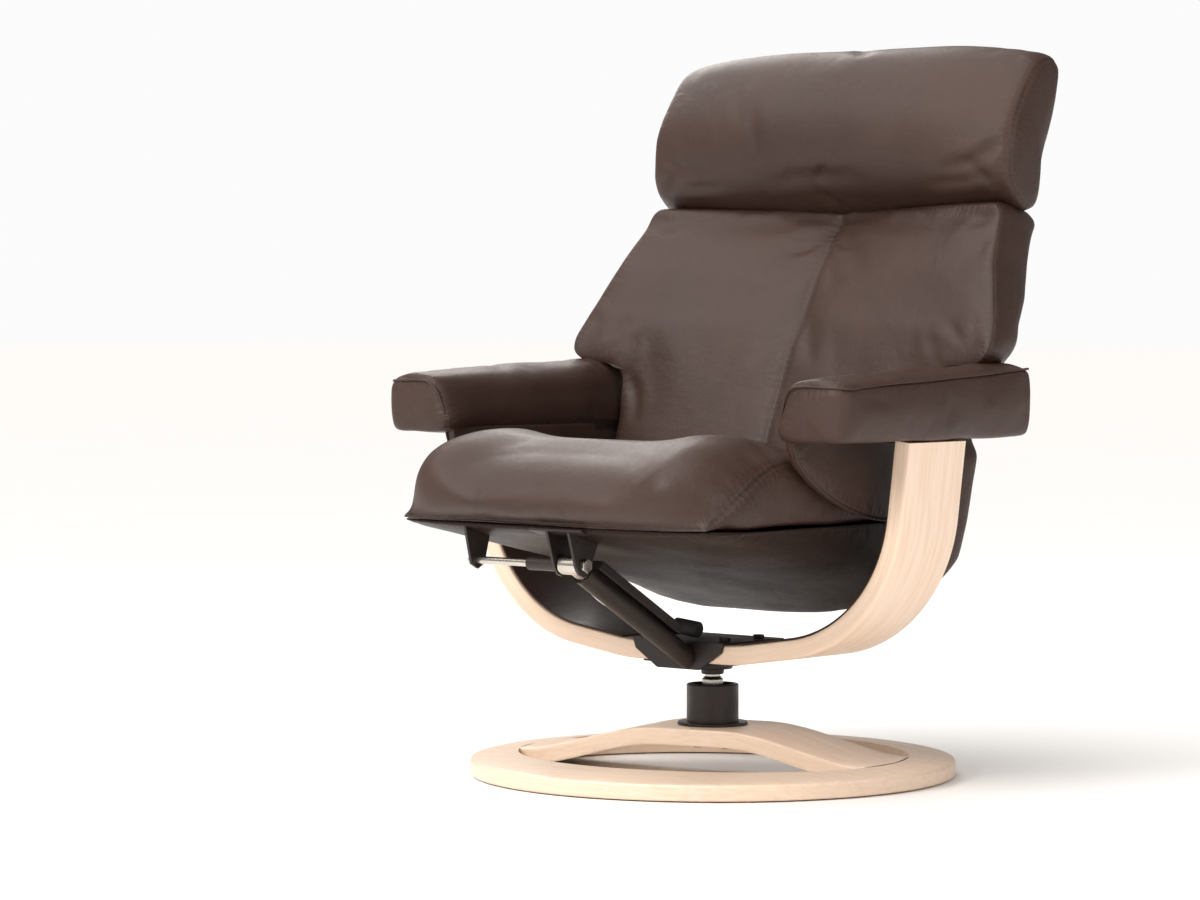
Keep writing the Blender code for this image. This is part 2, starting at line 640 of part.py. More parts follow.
# ------------------------------------------------------------ back
def back_front():
    """Front outline of the back: narrow between the arms, wide above them."""
    return mirrored([(BACK_HALF_LOW - 0.006, 0.25), (BACK_HALF_LOW, 0.30), (BACK_HALF_LOW, 0.530),
                     (0.290, 0.549), (0.345, 0.553), (0.364, 0.566), (0.366, 0.580),
                     (0.350, 0.625), (0.322, 0.690), (0.306, 0.735), (0.300, 0.770)])


def back_dish(x, y, z):
    """How far the back's sides come forward of its middle, at its face and at its rear."""
    face = along_table(z, [(pz, py) for py, pz in BACK_FACE] + [(0.752, 0.281)])
    rear = along_table(z, [(pz, py) for py, pz in reversed(BACK_REAR)] + [(0.752, 0.317)])
    depth = min(max((y - face) / (rear - face), 0.0), 1.0)
    ahead = along_table(z, FACE_DISH) * min(abs(x) / 0.31, 1.0) ** 2
    swept = along_table(z, REAR_SWEEP) * min(max((abs(x) - 0.270) / 0.090, 0.0), 1.0)
    return ahead * (1 - depth) + swept * depth


def post_point(z):
    """Height to a point on the headrest posts' centre line (y, z)."""
    return (HEAD_PIVOT[0] + (z - HEAD_PIVOT[1]) * math.tan(HEAD_LEAN), z)


def back():
    rear = [(y + BACK_PAD, z) for y, z in reversed(BACK_FACE)]
    top = [(0.256, 0.720), (0.281, 0.752), (0.303, 0.762), (0.317, 0.748), (0.311, 0.715),
           (0.296, 0.7005)]
    cushion = profiled("back_cushion", BACK_FACE + top + rear, back_front(), LEATHER, back_dish)
    for side in (-1, 1):
        x = POST_X * side
        drill(cushion, (x, *post_point(0.56)), (x, *post_point(0.80)), GUIDE_RADIUS + 0.001, 16)

    seam = 0.0008
    join = [(y + BACK_PAD + seam, z) for y, z in BACK_FACE]
    lip = [(0.118, 0.300), (0.112, 0.262)]
    outer_side = list(reversed(lip)) + join + [(0.288, 0.6925)] + BACK_REAR
    cover = profiled("back_cover", outer_side, back_front(), LEATHER, back_dish)
    w = COVER_WALL
    inner_rear = [(0.2935, 0.6920), (0.2820, 0.635), (0.2620, 0.559), (0.2312, 0.492),
                  (0.2000, 0.437), (0.1800, 0.345), (0.1672, 0.288), (0.1465, 0.266), (0.100, 0.266)]
    inner_front = mirrored([(BACK_HALF_LOW - 0.006 - w, 0.24), (BACK_HALF_LOW - w, 0.30),
                            (BACK_HALF_LOW - w, 0.534), (0.290, 0.554), (0.343, 0.557),
                            (0.360, 0.569), (0.3615, 0.580), (0.3458, 0.624), (0.3180, 0.688),
                            (0.3140, 0.720)])
    hollow = profiled("cover_inside", inner_rear + [(0.050, 0.300), (0.050, 0.692)], inner_front,
                      LEATHER, back_dish)
    combine(cover, hollow, "DIFFERENCE")
    for side in (-1, 1):
        drill(cover, (0.26 * side, *RECLINE), (0.29 * side, *RECLINE), 0.010)

    rail = BACK_RAIL_X
    side_line = [(0.152, 0.352), (0.183, 0.450), (0.231, 0.550), (0.2725, 0.655)]
    corners = [(-rail, *p) for p in side_line] + [(rail, *p) for p in reversed(side_line)]
    radii = [0.20] * 2 + [0.03] * 2 + [0.20] * 2
    path = rounded(corners, radii, 3)
    frame = tube("back_frame", path, BACK_RAIL_RADIUS, BLACK)
    for side in (-1, 1):
        span = sorted((LUG_X[0] * side, LUG_X[1] * side))
        lug = flat("lug", capsule(SEAT_HINGE, RECLINE, 0.013, 0.015), span, BLACK, ALONG_X)
        drill(lug, (0.24 * side, *SEAT_HINGE), (0.28 * side, *SEAT_HINGE), 0.0053, 20)
        combine(frame, lug, "UNION")

    web = [(y + BACK_PAD + 0.003, z) for y, z in BACK_FACE if 0.39 < z < 0.60]
    strip = web + [(y + 0.002, z) for y, z in reversed(web)]
    flat("back_webbing", strip, (-0.232, 0.232), CLOTH, ALONG_X)

    for side, word in ((1, "left"), (-1, "right")):
        pin = cylinder(f"recline_bolt_{word}", (0.2576 * side, *RECLINE), (0.2905 * side, *RECLINE),
                       0.006, ZINC)
        cap = cylinder("cap", (0.2882 * side, *RECLINE), (0.2925 * side, *RECLINE), 0.010, ZINC, 20)
        combine(pin, cap, "UNION")
        pin = cylinder(f"seat_bolt_{word}", (0.2475 * side, *SEAT_HINGE), (0.2640 * side, *SEAT_HINGE),
                       0.005, ZINC, 20)
        cap = cylinder("cap", (0.2622 * side, *SEAT_HINGE), (0.2660 * side, *SEAT_HINGE), 0.008,
                       ZINC, 20)
        combine(pin, cap, "UNION")
        x = POST_X * side
        guide = cylinder(f"headrest_guide_{word}", (x, *post_point(0.580)), (x, *post_point(0.7600)),
                         GUIDE_RADIUS, PLASTIC, 16)
        drill(guide, (x, *post_point(0.55)), (x, *post_point(0.80)), POST_RADIUS + RUN, 16)

    plate = box("guide_plate", (-0.2365, -0.0015, -0.018), (0.2365, 0.0015, 0.018), BLACK)
    y, z = post_point(0.605)
    shift = GUIDE_RADIUS + 0.0015 + GAP
    plate.matrix_world = (Matrix.Translation((0, y + shift * math.cos(HEAD_LEAN),
                                              z - shift * math.sin(HEAD_LEAN)))
                          @ Matrix.Rotation(-HEAD_LEAN, 4, "X"))


# ------------------------------------------------------------ headrest
def headrest():
    low = [(-POST_X, *post_point(0.660)), (-POST_X, *post_point(HEAD_PIVOT[1]))]
    high = [(POST_X, *post_point(HEAD_PIVOT[1])), (POST_X, *post_point(0.660))]
    tube("headrest_posts", rounded(low + high, [0.014] * 2, 4), POST_RADIUS, ZINC)

    axis = Vector((0, *HEAD_PIVOT))
    barrel = cylinder("headrest_barrel", axis - Vector((0.060, 0, 0)), axis + Vector((0.060, 0, 0)),
                      0.0088, BLACK)
    lean = Matrix.Rotation(-HEAD_LEAN, 4, "X")
    frame = Matrix.Translation(axis) @ lean

    def leaning(name, low_corner, high_corner, finish):
        piece = box(name, low_corner, high_corner, finish)
        piece.matrix_world = frame @ piece.matrix_world
        return piece

    leaf = leaning("leaf", (-0.060, -0.0098, -0.006), (0.060, -0.0066, 0.050), BLACK)
    combine(barrel, leaf, "UNION")
    drill(barrel, axis - Vector((0.08, 0, 0)), axis + Vector((0.08, 0, 0)), POST_RADIUS + RUN, 16)
    leaning("headrest_board", (-0.285, -0.0191, -0.008), (0.285, -0.0101, 0.140), PLY)

    split = 0.0195
    face = [(-split, 0.164), (-0.036, 0.175), (-0.056, 0.172), (-0.066, 0.148), (-0.0735, 0.090),
            (-0.0720, 0.035), (-0.060, -0.004), (-0.042, -0.020), (-split, -0.022)]
    cushion = flat("headrest_cushion", face, (-HEAD_HALF, HEAD_HALF), LEATHER, frame @ ALONG_X)
    round_edges(cushion, 0.008, 2, 60)

    def rear(name, depth, inset, finish):
        outline = [(-split + GAP, -0.022 + inset), (0.004, -0.019 + inset), (0.012 - inset, -0.008),
                   (depth, 0.030), (depth, 0.120), (0.010 - inset, 0.158 - inset),
                   (-0.006, 0.170 - inset), (-split + GAP, 0.172 - inset)]
        half = HEAD_HALF - 0.002 - inset
        return flat(name, outline, (-half, half), finish, frame @ ALONG_X)

    cover = rear("headrest_cover", 0.0150, 0.0, LEATHER)
    inside = rear("cover_room", 0.0120, 0.003, LEATHER)
    for corner in inside.data.vertices:
        if corner.co.x < -split + 0.001:
            corner.co.x -= 0.02
    combine(cover, inside, "DIFFERENCE")
    for side in (-1, 1):
        x = POST_X * side
        slot = leaning("slot", (x - 0.012, -0.0185, -0.05), (x + 0.012, 0.0125, 0.002), LEATHER)
        combine(cover, slot, "DIFFERENCE")


base()
tube_foot, tube_along = chassis()
glide_rod(tube_foot, tube_along)
seat()
back()
headrest()

for piece in PARTS.objects:
    piece.data.shade_smooth()
    piece.data.set_sharp_from_angle(angle=math.radians(35))
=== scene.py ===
"""Looks of the reclining leather armchair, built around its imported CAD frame.

Metres, +Z up, front of the chair towards -Y, the sitter's left towards +X.
"""
import json
import math

import bmesh
import bpy
import numpy as np
from mathutils import Matrix, Vector

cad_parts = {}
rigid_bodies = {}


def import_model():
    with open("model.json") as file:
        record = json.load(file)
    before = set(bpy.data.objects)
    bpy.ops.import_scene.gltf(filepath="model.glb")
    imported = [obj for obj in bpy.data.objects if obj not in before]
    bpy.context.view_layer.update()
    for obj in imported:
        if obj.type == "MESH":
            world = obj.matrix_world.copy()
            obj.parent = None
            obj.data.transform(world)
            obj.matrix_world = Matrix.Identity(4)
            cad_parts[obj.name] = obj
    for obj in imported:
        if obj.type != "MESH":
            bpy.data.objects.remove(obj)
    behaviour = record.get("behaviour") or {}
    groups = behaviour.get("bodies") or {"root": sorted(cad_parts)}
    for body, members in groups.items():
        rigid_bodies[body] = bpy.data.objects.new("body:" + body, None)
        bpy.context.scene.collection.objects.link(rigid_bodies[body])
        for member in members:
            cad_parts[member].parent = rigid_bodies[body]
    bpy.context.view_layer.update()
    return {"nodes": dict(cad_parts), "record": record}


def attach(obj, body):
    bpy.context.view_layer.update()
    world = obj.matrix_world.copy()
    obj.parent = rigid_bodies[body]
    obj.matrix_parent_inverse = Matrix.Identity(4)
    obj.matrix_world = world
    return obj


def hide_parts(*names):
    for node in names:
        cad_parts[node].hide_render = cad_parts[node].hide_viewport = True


for old in list(bpy.data.objects):
    bpy.data.objects.remove(old, do_unlink=True)

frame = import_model()
NODES = frame["nodes"]


# ------------------------------------------------------------ curves and grids
def spline(points, count, closed=False):
    """Catmull-Rom curve through points, resampled evenly by arc length."""
    p = np.array(points, float)
    n = len(p)
    fine = []
    spans = n if closed else n - 1
    for k in range(spans):
        if closed:
            a, b, c, d = p[(k - 1) % n], p[k], p[(k + 1) % n], p[(k + 2) % n]
        else:
            a, b, c, d = p[max(k - 1, 0)], p[k], p[k + 1], p[min(k + 2, n - 1)]
        ab = max(np.linalg.norm(b - a) ** 0.5, 1e-6)
        bc = max(np.linalg.norm(c - b) ** 0.5, 1e-6)
        cd = max(np.linalg.norm(d - c) ** 0.5, 1e-6)
        m1 = (c - b) + bc * ((b - a) / ab - (c - a) / (ab + bc)) if k or closed else c - b
        last = k == spans - 1 and not closed
        m2 = c - b if last else (c - b) + bc * ((d - c) / cd - (d - b) / (bc + cd))
        for t in np.linspace(0, 1, 24, endpoint=False):
            h = t * t * (3 - 2 * t)
            fine.append(b + (c - b) * h + m1 * t * (1 - t) ** 2 - m2 * t * t * (1 - t))
    fine.append(p[0] if closed else p[-1])
    return resampled(np.array(fine), count, closed)


def resampled(fine, count, closed=False):
    step = np.linalg.norm(np.diff(fine, axis=0), axis=1)
    along = np.concatenate([[0], np.cumsum(step)])
    want = np.linspace(0, along[-1], count + 1)[:-1] if closed else np.linspace(0, along[-1], count)
    return np.stack([np.interp(want, along, fine[:, k]) for k in range(fine.shape[1])], 1)


def soft_step(t):
    t = np.clip(t, 0, 1)
    return t * t * (3 - 2 * t)


def new_object(name, verts, faces):
    mesh = bpy.data.meshes.new(name)
    mesh.from_pydata([tuple(v) for v in verts], [], [tuple(f) for f in faces])
    work = bmesh.new()
    work.from_mesh(mesh)
    bmesh.ops.recalc_face_normals(work, faces=work.faces)
    work.to_mesh(mesh)
    work.free()
    mesh.shade_smooth()
    made = bpy.data.objects.new(name, mesh)
    bpy.context.scene.collection.objects.link(made)
    return made


def boxed(name, front, rear, rings, bulge):
    """A closed pad from two grids of the same shape, joined by a strip around their edges.

    Returns the object and the indices of the front rim and the rear rim.
    """
    rows, cols = front.shape[:2]
    verts = [*front.reshape(-1, 3), *rear.reshape(-1, 3)]
    size = rows * cols
    faces = []
    for i in range(rows - 1):
        for j in range(cols - 1):
            a = i * cols + j
            faces.append((a, a + 1, a + cols + 1, a + cols))
            faces.append((a + size, a + cols + size, a + cols + 1 + size, a + 1 + size))
    rim = [j for j in range(cols)]
    rim += [i * cols + cols - 1 for i in range(1, rows)]
    rim += [(rows - 1) * cols + j for j in range(cols - 2, -1, -1)]
    rim += [i * cols for i in range(rows - 2, 0, -1)]
    middle = np.mean(verts, axis=0)
    loops = [rim]
    for k in range(1, rings):
        t = k / rings
        loop = []
        for r in rim:
            a, b = verts[r], verts[r + size]
            out = (a + b) / 2 - middle
            out -= (b - a) * (out @ (b - a)) / max((b - a) @ (b - a), 1e-9)
            out /= max(np.linalg.norm(out), 1e-9)
            loop.append(len(verts))
            verts.append(a + (b - a) * t + out * bulge * 4 * t * (1 - t))
        loops.append(loop)
    loops.append([r + size for r in rim])
    for near, far in zip(loops, loops[1:]):
        for k in range(len(rim)):
            m = (k + 1) % len(rim)
            faces.append((near[k], near[m], far[m], far[k]))
    return new_object(name, verts, faces), rim, [r + size for r in rim]


def barrel(name, sections, cap_rings, dome):
    """A closed loft through loops of points, closed by domed end caps.

    Returns the object and the indices of the two end loops.
    """
    count, around = sections.shape[:2]
    verts = list(sections.reshape(-1, 3))
    faces = []
    for i in range(count - 1):
        for j in range(around):
            k = (j + 1) % around
            faces.append((i * around + j, i * around + k, (i + 1) * around + k, (i + 1) * around + j))
    rims = [list(range(around)), [(count - 1) * around + j for j in range(around)]]
    for end, rim in enumerate(rims):
        loop = sections[0 if end == 0 else -1]
        inner = sections[1 if end == 0 else -2]
        centre = loop.mean(0)
        out = centre - inner.mean(0)
        out /= np.linalg.norm(out)
        before = rim
        for k in range(1, cap_rings):
            s = 1 - k / cap_rings
            ring = []
            for p in loop:
                ring.append(len(verts))
                verts.append(centre + (p - centre) * s + out * dome * (1 - s * s))
            for j in range(around):
                m = (j + 1) % around
                faces.append((before[j], before[m], ring[m], ring[j]))
            before = ring
        tip = len(verts)
        verts.append(centre + out * dome)
        for j in range(around):
            faces.append((before[j], before[(j + 1) % around], tip))
    return new_object(name, verts, faces), rims[0], rims[1]


# ------------------------------------------------------------ soft pieces
CLOTH_FRAMES = 20
CLOTH_STIFFNESS = 18.0
CLOTH_DAMPING = 8


def coordinates(piece):
    co = np.zeros(len(piece.data.vertices) * 3)
    piece.data.vertices.foreach_get("co", co)
    return co.reshape(-1, 3)


def set_coordinates(piece, co):
    piece.data.vertices.foreach_set("co", co.astype(np.float32).ravel())
    piece.data.update()


def normals(piece):
    out = np.zeros(len(piece.data.vertices) * 3, np.float32)
    piece.data.vertex_normals.foreach_get("vector", out)
    return out.reshape(-1, 3).astype(float)


def inflate(piece, seams, cap, pressure, shrink):
    """Cloth simulation that swells a piece between its seams; the result is applied.

    No point moves further than cap, in metres.
    """
    start = coordinates(piece)
    group = piece.vertex_groups.new(name="pins")
    group.add([int(i) for i in seams], 1.0, "REPLACE")
    step = piece.modifiers.new("Cloth", "CLOTH")
    s = step.settings
    s.quality = 6
    s.mass = 0.3
    s.tension_stiffness = CLOTH_STIFFNESS
    s.compression_stiffness = CLOTH_STIFFNESS
    s.shear_stiffness = CLOTH_STIFFNESS * 0.4
    s.bending_stiffness = 2.5
    s.tension_damping = CLOTH_DAMPING
    s.compression_damping = CLOTH_DAMPING
    s.shear_damping = CLOTH_DAMPING
    s.bending_damping = 0.8
    s.air_damping = 2
    s.use_pressure = True
    s.uniform_pressure_force = pressure
    s.shrink_min = -shrink
    s.effector_weights.gravity = 0
    s.vertex_group_mass = "pins"
    step.collision_settings.use_collision = False
    step.collision_settings.use_self_collision = False
    step.point_cache.frame_start = 1
    step.point_cache.frame_end = CLOTH_FRAMES
    scene = bpy.context.scene
    for number in range(1, CLOTH_FRAMES + 1):
        scene.frame_set(number)
    graph = bpy.context.evaluated_depsgraph_get()
    done = piece.evaluated_get(graph).to_mesh()
    co = np.zeros(len(done.vertices) * 3)
    done.vertices.foreach_get("co", co)
    piece.evaluated_get(graph).to_mesh_clear()
    piece.modifiers.remove(step)
    piece.vertex_groups.remove(group)
    scene.frame_set(1)
    move = co.reshape(-1, 3) - start
    far = np.linalg.norm(move, axis=1)
    scale = np.minimum(1.0, cap / np.maximum(far, 1e-9))
    set_coordinates(piece, start + move * scale[:, None])


def nearest(co, line):
    """Distance from each point to a polyline, and the arc length of its nearest point."""
    line = np.array(line, float)
    best = np.full(len(co), 1e9)
    where = np.zeros(len(co))
    done = 0.0
    for a, b in zip(line, line[1:]):
        d = b - a
        length = np.linalg.norm(d)
        if length < 1e-9:
            continue
        t = np.clip(((co - a) @ d) / length ** 2, 0, 1)
        r = np.linalg.norm(co - (a + t[:, None] * d), axis=1)
        closer = r < best
        best[closer] = r[closer]
        where[closer] = done + t[closer] * length
        done += length
    return best, where


def stitched(piece, lines, groove=0.0022, width=0.0045, pucker=0.0007):
    """Draws the surface in along its seams, with small puckers, and stores the distance to them."""
    co = coordinates(piece)
    normal = normals(piece)
    dist = np.full(len(co), 1.0)
    along = np.zeros(len(co))
    for number, line in enumerate(lines):
        d, s = nearest(co, line)
        closer = d < dist
        dist[closer] = d[closer]
        along[closer] = s[closer] + number * 3.1
    wave = np.sin(along * 390 + 1.7 * np.sin(along * 61)) * np.sin(along * 97 + 1.3)
    shift = -groove * np.exp(-((dist / width) ** 2))
    shift += pucker * wave * np.exp(-((dist - 0.011) / 0.010) ** 2)
    set_coordinates(piece, co + normal * shift[:, None])
    for name, value in (("seam_gap", np.minimum(dist, 0.2)), ("seam_run", along)):
        attribute = piece.data.attributes.new(name, "FLOAT", "POINT")
        attribute.data.foreach_set("value", value.astype(np.float32))


def creased(piece, folds):
    """Soft folds: a valley along each line with a low ridge beside it."""
    co = coordinates(piece)
    normal = normals(piece)
    shift = np.zeros(len(co))
    for points, width, depth in folds:
        line = spline(points, 24)
        total = np.linalg.norm(np.diff(line, axis=0), axis=1).sum()
        d, s = nearest(co, line)
        fade = np.sin(math.pi * np.clip(s / total, 0.02, 0.98)) ** 0.7
        valley = np.exp(-((d / width) ** 2)) - 0.45 * np.exp(-(((d - 1.9 * width) / (1.1 * width)) ** 2))
        shift -= depth * fade * valley
    set_coordinates(piece, co + normal * shift[:, None])


def waved(piece, amplitude, scale, seed):
    """Large gentle unevenness of stuffed leather."""
    co = coordinates(piece)
    normal = normals(piece)
    rng = np.random.default_rng(seed)
    shift = np.zeros(len(co))
    for k in range(7):
        way = rng.normal(size=3)
        way /= np.linalg.norm(way)
        pitch = scale * rng.uniform(0.6, 1.5)
        shift += np.sin(co @ way * 2 * math.pi / pitch + rng.uniform(0, 6.28)) / (k + 2)
    set_coordinates(piece, co + normal * (shift * amplitude)[:, None])


def finer(piece):
    """One level of subdivision, kept as a modifier."""
    step = piece.modifiers.new("finer", "SUBSURF")
    step.levels = 1
    step.render_levels = 1


def cord_line(name, points, radius, finish, body):
    """A thin sewn welt that follows a line."""
    curve = bpy.data.curves.new(name, "CURVE")
    curve.dimensions = "3D"
    curve.bevel_depth = radius
    curve.bevel_resolution = 2
    curve.use_fill_caps = True
    path = curve.splines.new("POLY")
    path.points.add(len(points) - 1)
    for spot, place in zip(path.points, points):
        spot.co = (*[float(v) for v in place], 1)
    shape = bpy.data.objects.new(name, curve)
    bpy.context.scene.collection.objects.link(shape)
    curve.materials.append(finish)
    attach(shape, body)


# ------------------------------------------------------------ materials
class Maker:
    """A small helper that adds nodes to one procedural material."""

    def __init__(self, name, colour, roughness, metallic=0.0, **sockets):
        self.material = bpy.data.materials.new(name)
        self.material.use_nodes = True
        self.tree = self.material.node_tree
        self.shader = self.tree.nodes["Principled BSDF"]
        self.shader.inputs["Base Color"].default_value = (*colour, 1)
        self.shader.inputs["Roughness"].default_value = roughness
        self.shader.inputs["Metallic"].default_value = metallic
        for socket, value in sockets.items():
            self.shader.inputs[socket.replace("_", " ")].default_value = value
        self.place = self.add("ShaderNodeTexCoord").outputs["Object"]
        self.height = None

    def add(self, kind, inputs=None, **settings):
        node = self.tree.nodes.new(kind)
        for key, value in settings.items():
            setattr(node, key, value)
        for key, value in (inputs or {}).items():
            if isinstance(value, bpy.types.NodeSocket):
                self.tree.links.new(value, node.inputs[key])
            else:
                node.inputs[key].default_value = value
        return node

    def noise(self, scale, detail=3.0, rough=0.5, vector=None, distortion=0.0):
        return self.add("ShaderNodeTexNoise", {
            "Vector": vector or self.place, "Scale": scale, "Detail": detail,
            "Roughness": rough, "Distortion": distortion}).outputs["Fac"]

    def cells(self, scale):
        return self.add("ShaderNodeTexVoronoi", {"Vector": self.place, "Scale": scale},
                        feature="DISTANCE_TO_EDGE").outputs["Distance"]

    def spread(self, value, low, high, to_low, to_high):
        return self.add("ShaderNodeMapRange", {
            "Value": value, "From Min": low, "From Max": high, "To Min": to_low,
            "To Max": to_high}).outputs["Result"]

    def maths(self, operation, a, b=0.0):
        return self.add("ShaderNodeMath", {0: a, 1: b}, operation=operation).outputs[0]

    def mix(self, factor, a, b):
        return self.add("ShaderNodeMix", {0: factor, 6: a, 7: b}, data_type="RGBA").outputs[2]

    def stretched(self, x, y, z):
        return self.add("ShaderNodeMapping", {"Vector": self.place, "Scale": (x, y, z)}).outputs[0]

    def attribute(self, name):
        return self.add("ShaderNodeAttribute", attribute_name=name).outputs["Fac"]

    def colour(self, value):
        self.tree.links.new(value, self.shader.inputs["Base Color"])

    def roughness(self, value):
        self.tree.links.new(value, self.shader.inputs["Roughness"])

    def bump(self, value, distance, strength=1.0):
        inputs = {"Height": value, "Distance": distance, "Strength": strength}
        if self.height is not None:
            inputs["Normal"] = self.height
        self.height = self.add("ShaderNodeBump", inputs).outputs["Normal"]
        self.tree.links.new(self.height, self.shader.inputs["Normal"])


def leather_material(name, seams, shade=1.0):
    """Brown grained leather; a shade below 1 is darker and duller: painted shade for surfaces that
    should look unlit, such as undersides.
    """
    m = Maker(name, (0.05, 0.03, 0.025), 0.40, Specular_IOR_Level=0.38 * shade)
    broad = m.noise(7.0, 4.0, 0.55)
    fine = m.noise(160.0, 3.0, 0.6)
    dark = (0.035, 0.0155, 0.0105, 1)
    light = (0.050, 0.0235, 0.0165, 1)
    body = m.mix(m.spread(broad, 0.3, 0.7, 0.0, 1.0), dark, light)
    # painted shade: below 1 the colour is mixed towards near black, and the sheen is lowered above as
    # well
    if shade < 1.0:
        body = m.mix(1 - shade, body, (0.004, 0.002, 0.001, 1))
    pores = m.cells(520.0)
    rough = m.spread(broad, 0.3, 0.7, 0.36, 0.47)
    rough = m.maths("ADD", rough, m.spread(fine, 0.3, 0.7, -0.03, 0.04))
    if seams:
        gap = m.attribute("seam_gap")
        run = m.attribute("seam_run")
        # painted shade: the colour darkens within 2.2 mm of each seam, shade painted into the seam
        # groove
        body = m.mix(m.spread(gap, 0.0, 0.0022, 1.0, 0.0), body, (0.013, 0.008, 0.007, 1))
        beside = m.spread(m.maths("ABSOLUTE", m.maths("SUBTRACT", gap, 0.0048)), 0.0, 0.0009, 1.0, 0.0)
        dashes = m.spread(m.maths("SINE", m.maths("MULTIPLY", run, 1500.0)), -0.3, 0.1, 0.0, 1.0)
        stitch = m.maths("MULTIPLY", beside, dashes)
        body = m.mix(m.maths("MULTIPLY", stitch, 0.75), body, (0.085, 0.052, 0.042, 1))
        m.bump(stitch, 0.0006, 0.6)
        near = m.spread(gap, 0.004, 0.030, 1.0, 0.0)
        tucks = m.maths("SINE", m.maths("ADD", m.maths("MULTIPLY", run, 640.0),
                                        m.maths("MULTIPLY", m.noise(38.0), 9.0)))
        m.bump(m.maths("MULTIPLY", tucks, near), 0.0004, 0.3)
    m.bump(m.noise(24.0, 5.0, 0.6, distortion=0.6), 0.0030, 0.35)
    m.bump(m.spread(pores, 0.0, 0.10, 0.0, 1.0), 0.00035, 0.45)
    m.bump(fine, 0.0005, 0.4)
    m.colour(body)
    m.roughness(rough)
    return m.material


PLY_THICKNESS = 0.00165


def birch_material(name, layers):
    """Pale lacquered birch; layers says where the thin dark glue lines run."""
    m = Maker(name, (0.8, 0.6, 0.45), 0.38, Specular_IOR_Level=0.45, Coat_Weight=0.18,
              Coat_Roughness=0.22)
    if layers == "height":
        grain = m.stretched(1.0, 9.0, 30.0)
        depth = m.add("ShaderNodeSeparateXYZ", {0: m.place}).outputs["Z"]
    else:
        run = m.attribute("length_run")
        depth = m.attribute("ply_depth")
        across = m.add("ShaderNodeSeparateXYZ", {0: m.place}).outputs["Y"]
        grain = m.add("ShaderNodeCombineXYZ", {
            "X": run, "Y": m.maths("MULTIPLY", across, 14.0),
            "Z": m.maths("MULTIPLY", depth, 30.0)}).outputs[0]
    fibres = m.noise(9.0, 6.0, 0.62, grain, 0.4)
    cloud = m.noise(3.5, 2.0)
    pale = (0.87, 0.685, 0.535, 1)
    warm = (0.74, 0.51, 0.35, 1)
    body = m.mix(m.spread(fibres, 0.42, 0.70, 0.0, 0.62), pale, warm)
    body = m.mix(m.spread(cloud, 0.4, 0.65, 0.0, 0.22), body, (0.90, 0.72, 0.57, 1))
    specks = m.noise(60.0, 2.0, 0.5, grain)
    body = m.mix(m.spread(specks, 0.66, 0.74, 0.0, 0.35), body, (0.55, 0.34, 0.22, 1))
    wobble = m.maths("MULTIPLY", m.noise(30.0, 2.0), 0.0004)
    ply = m.maths("FRACT", m.maths("MULTIPLY", m.maths("ADD", depth, wobble), 1 / PLY_THICKNESS))
    glue = m.spread(m.maths("ABSOLUTE", m.maths("SUBTRACT", ply, 0.5)), 0.40, 0.5, 0.0, 1.0)
    if layers == "height":
        side = m.add("ShaderNodeSeparateXYZ", {0: m.add("ShaderNodeNewGeometry").outputs["Normal"]})
        face = m.spread(side.outputs["Z"], 0.93, 0.995, 1.0, 0.25)
    else:
        face = m.attribute("edge_face")
    glue = m.maths("MULTIPLY", glue, face)
    body = m.mix(m.maths("MULTIPLY", glue, 0.55), body, (0.50, 0.30, 0.18, 1))
    m.bump(fibres, 0.0006, 0.25)
    m.bump(glue, -0.0002, 0.4)
    m.colour(body)
    m.roughness(m.spread(fibres, 0.35, 0.7, 0.32, 0.46))
    return m.material


def metal_material(name, colour, worn, roughness, metallic, orange):
    """A coated, plated or moulded surface; orange is the strength of its orange peel."""
    m = Maker(name, colour, roughness, metallic, Specular_IOR_Level=0.5)
    cloud = m.noise(26.0, 4.0, 0.6)
    scuff = m.noise(240.0, 4.0, 0.7, m.stretched(1.0, 1.0, 0.15))
    body = m.mix(m.spread(cloud, 0.35, 0.7, 0.0, 0.8), (*colour, 1), (*worn, 1))
    m.colour(body)
    m.roughness(m.spread(m.maths("ADD", cloud, m.maths("MULTIPLY", scuff, 0.5)), 0.55, 1.0,
                         roughness - 0.08, roughness + 0.12))
    m.bump(m.noise(700.0, 2.0), 0.00025, orange)
    return m.material


def cloth_material():
    """Black woven lining."""
    m = Maker("lining_cloth", (0.018, 0.015, 0.015), 0.9, Sheen_Weight=0.25)
    weave = m.add("ShaderNodeTexWave", {"Vector": m.place, "Scale": 380.0, "Distortion": 0.4})
    other = m.add("ShaderNodeTexWave", {"Vector": m.place, "Scale": 380.0, "Distortion": 0.4},
                  bands_direction="Y")
    knit = m.maths("MULTIPLY", weave.outputs["Fac"], other.outputs["Fac"])
    m.colour(m.mix(knit, (0.010, 0.009, 0.009, 1), (0.030, 0.026, 0.025, 1)))
    m.bump(knit, 0.0006, 0.5)
    return m.material


LEATHER = leather_material("leather", True)
WELT = leather_material("leather_welt", False)
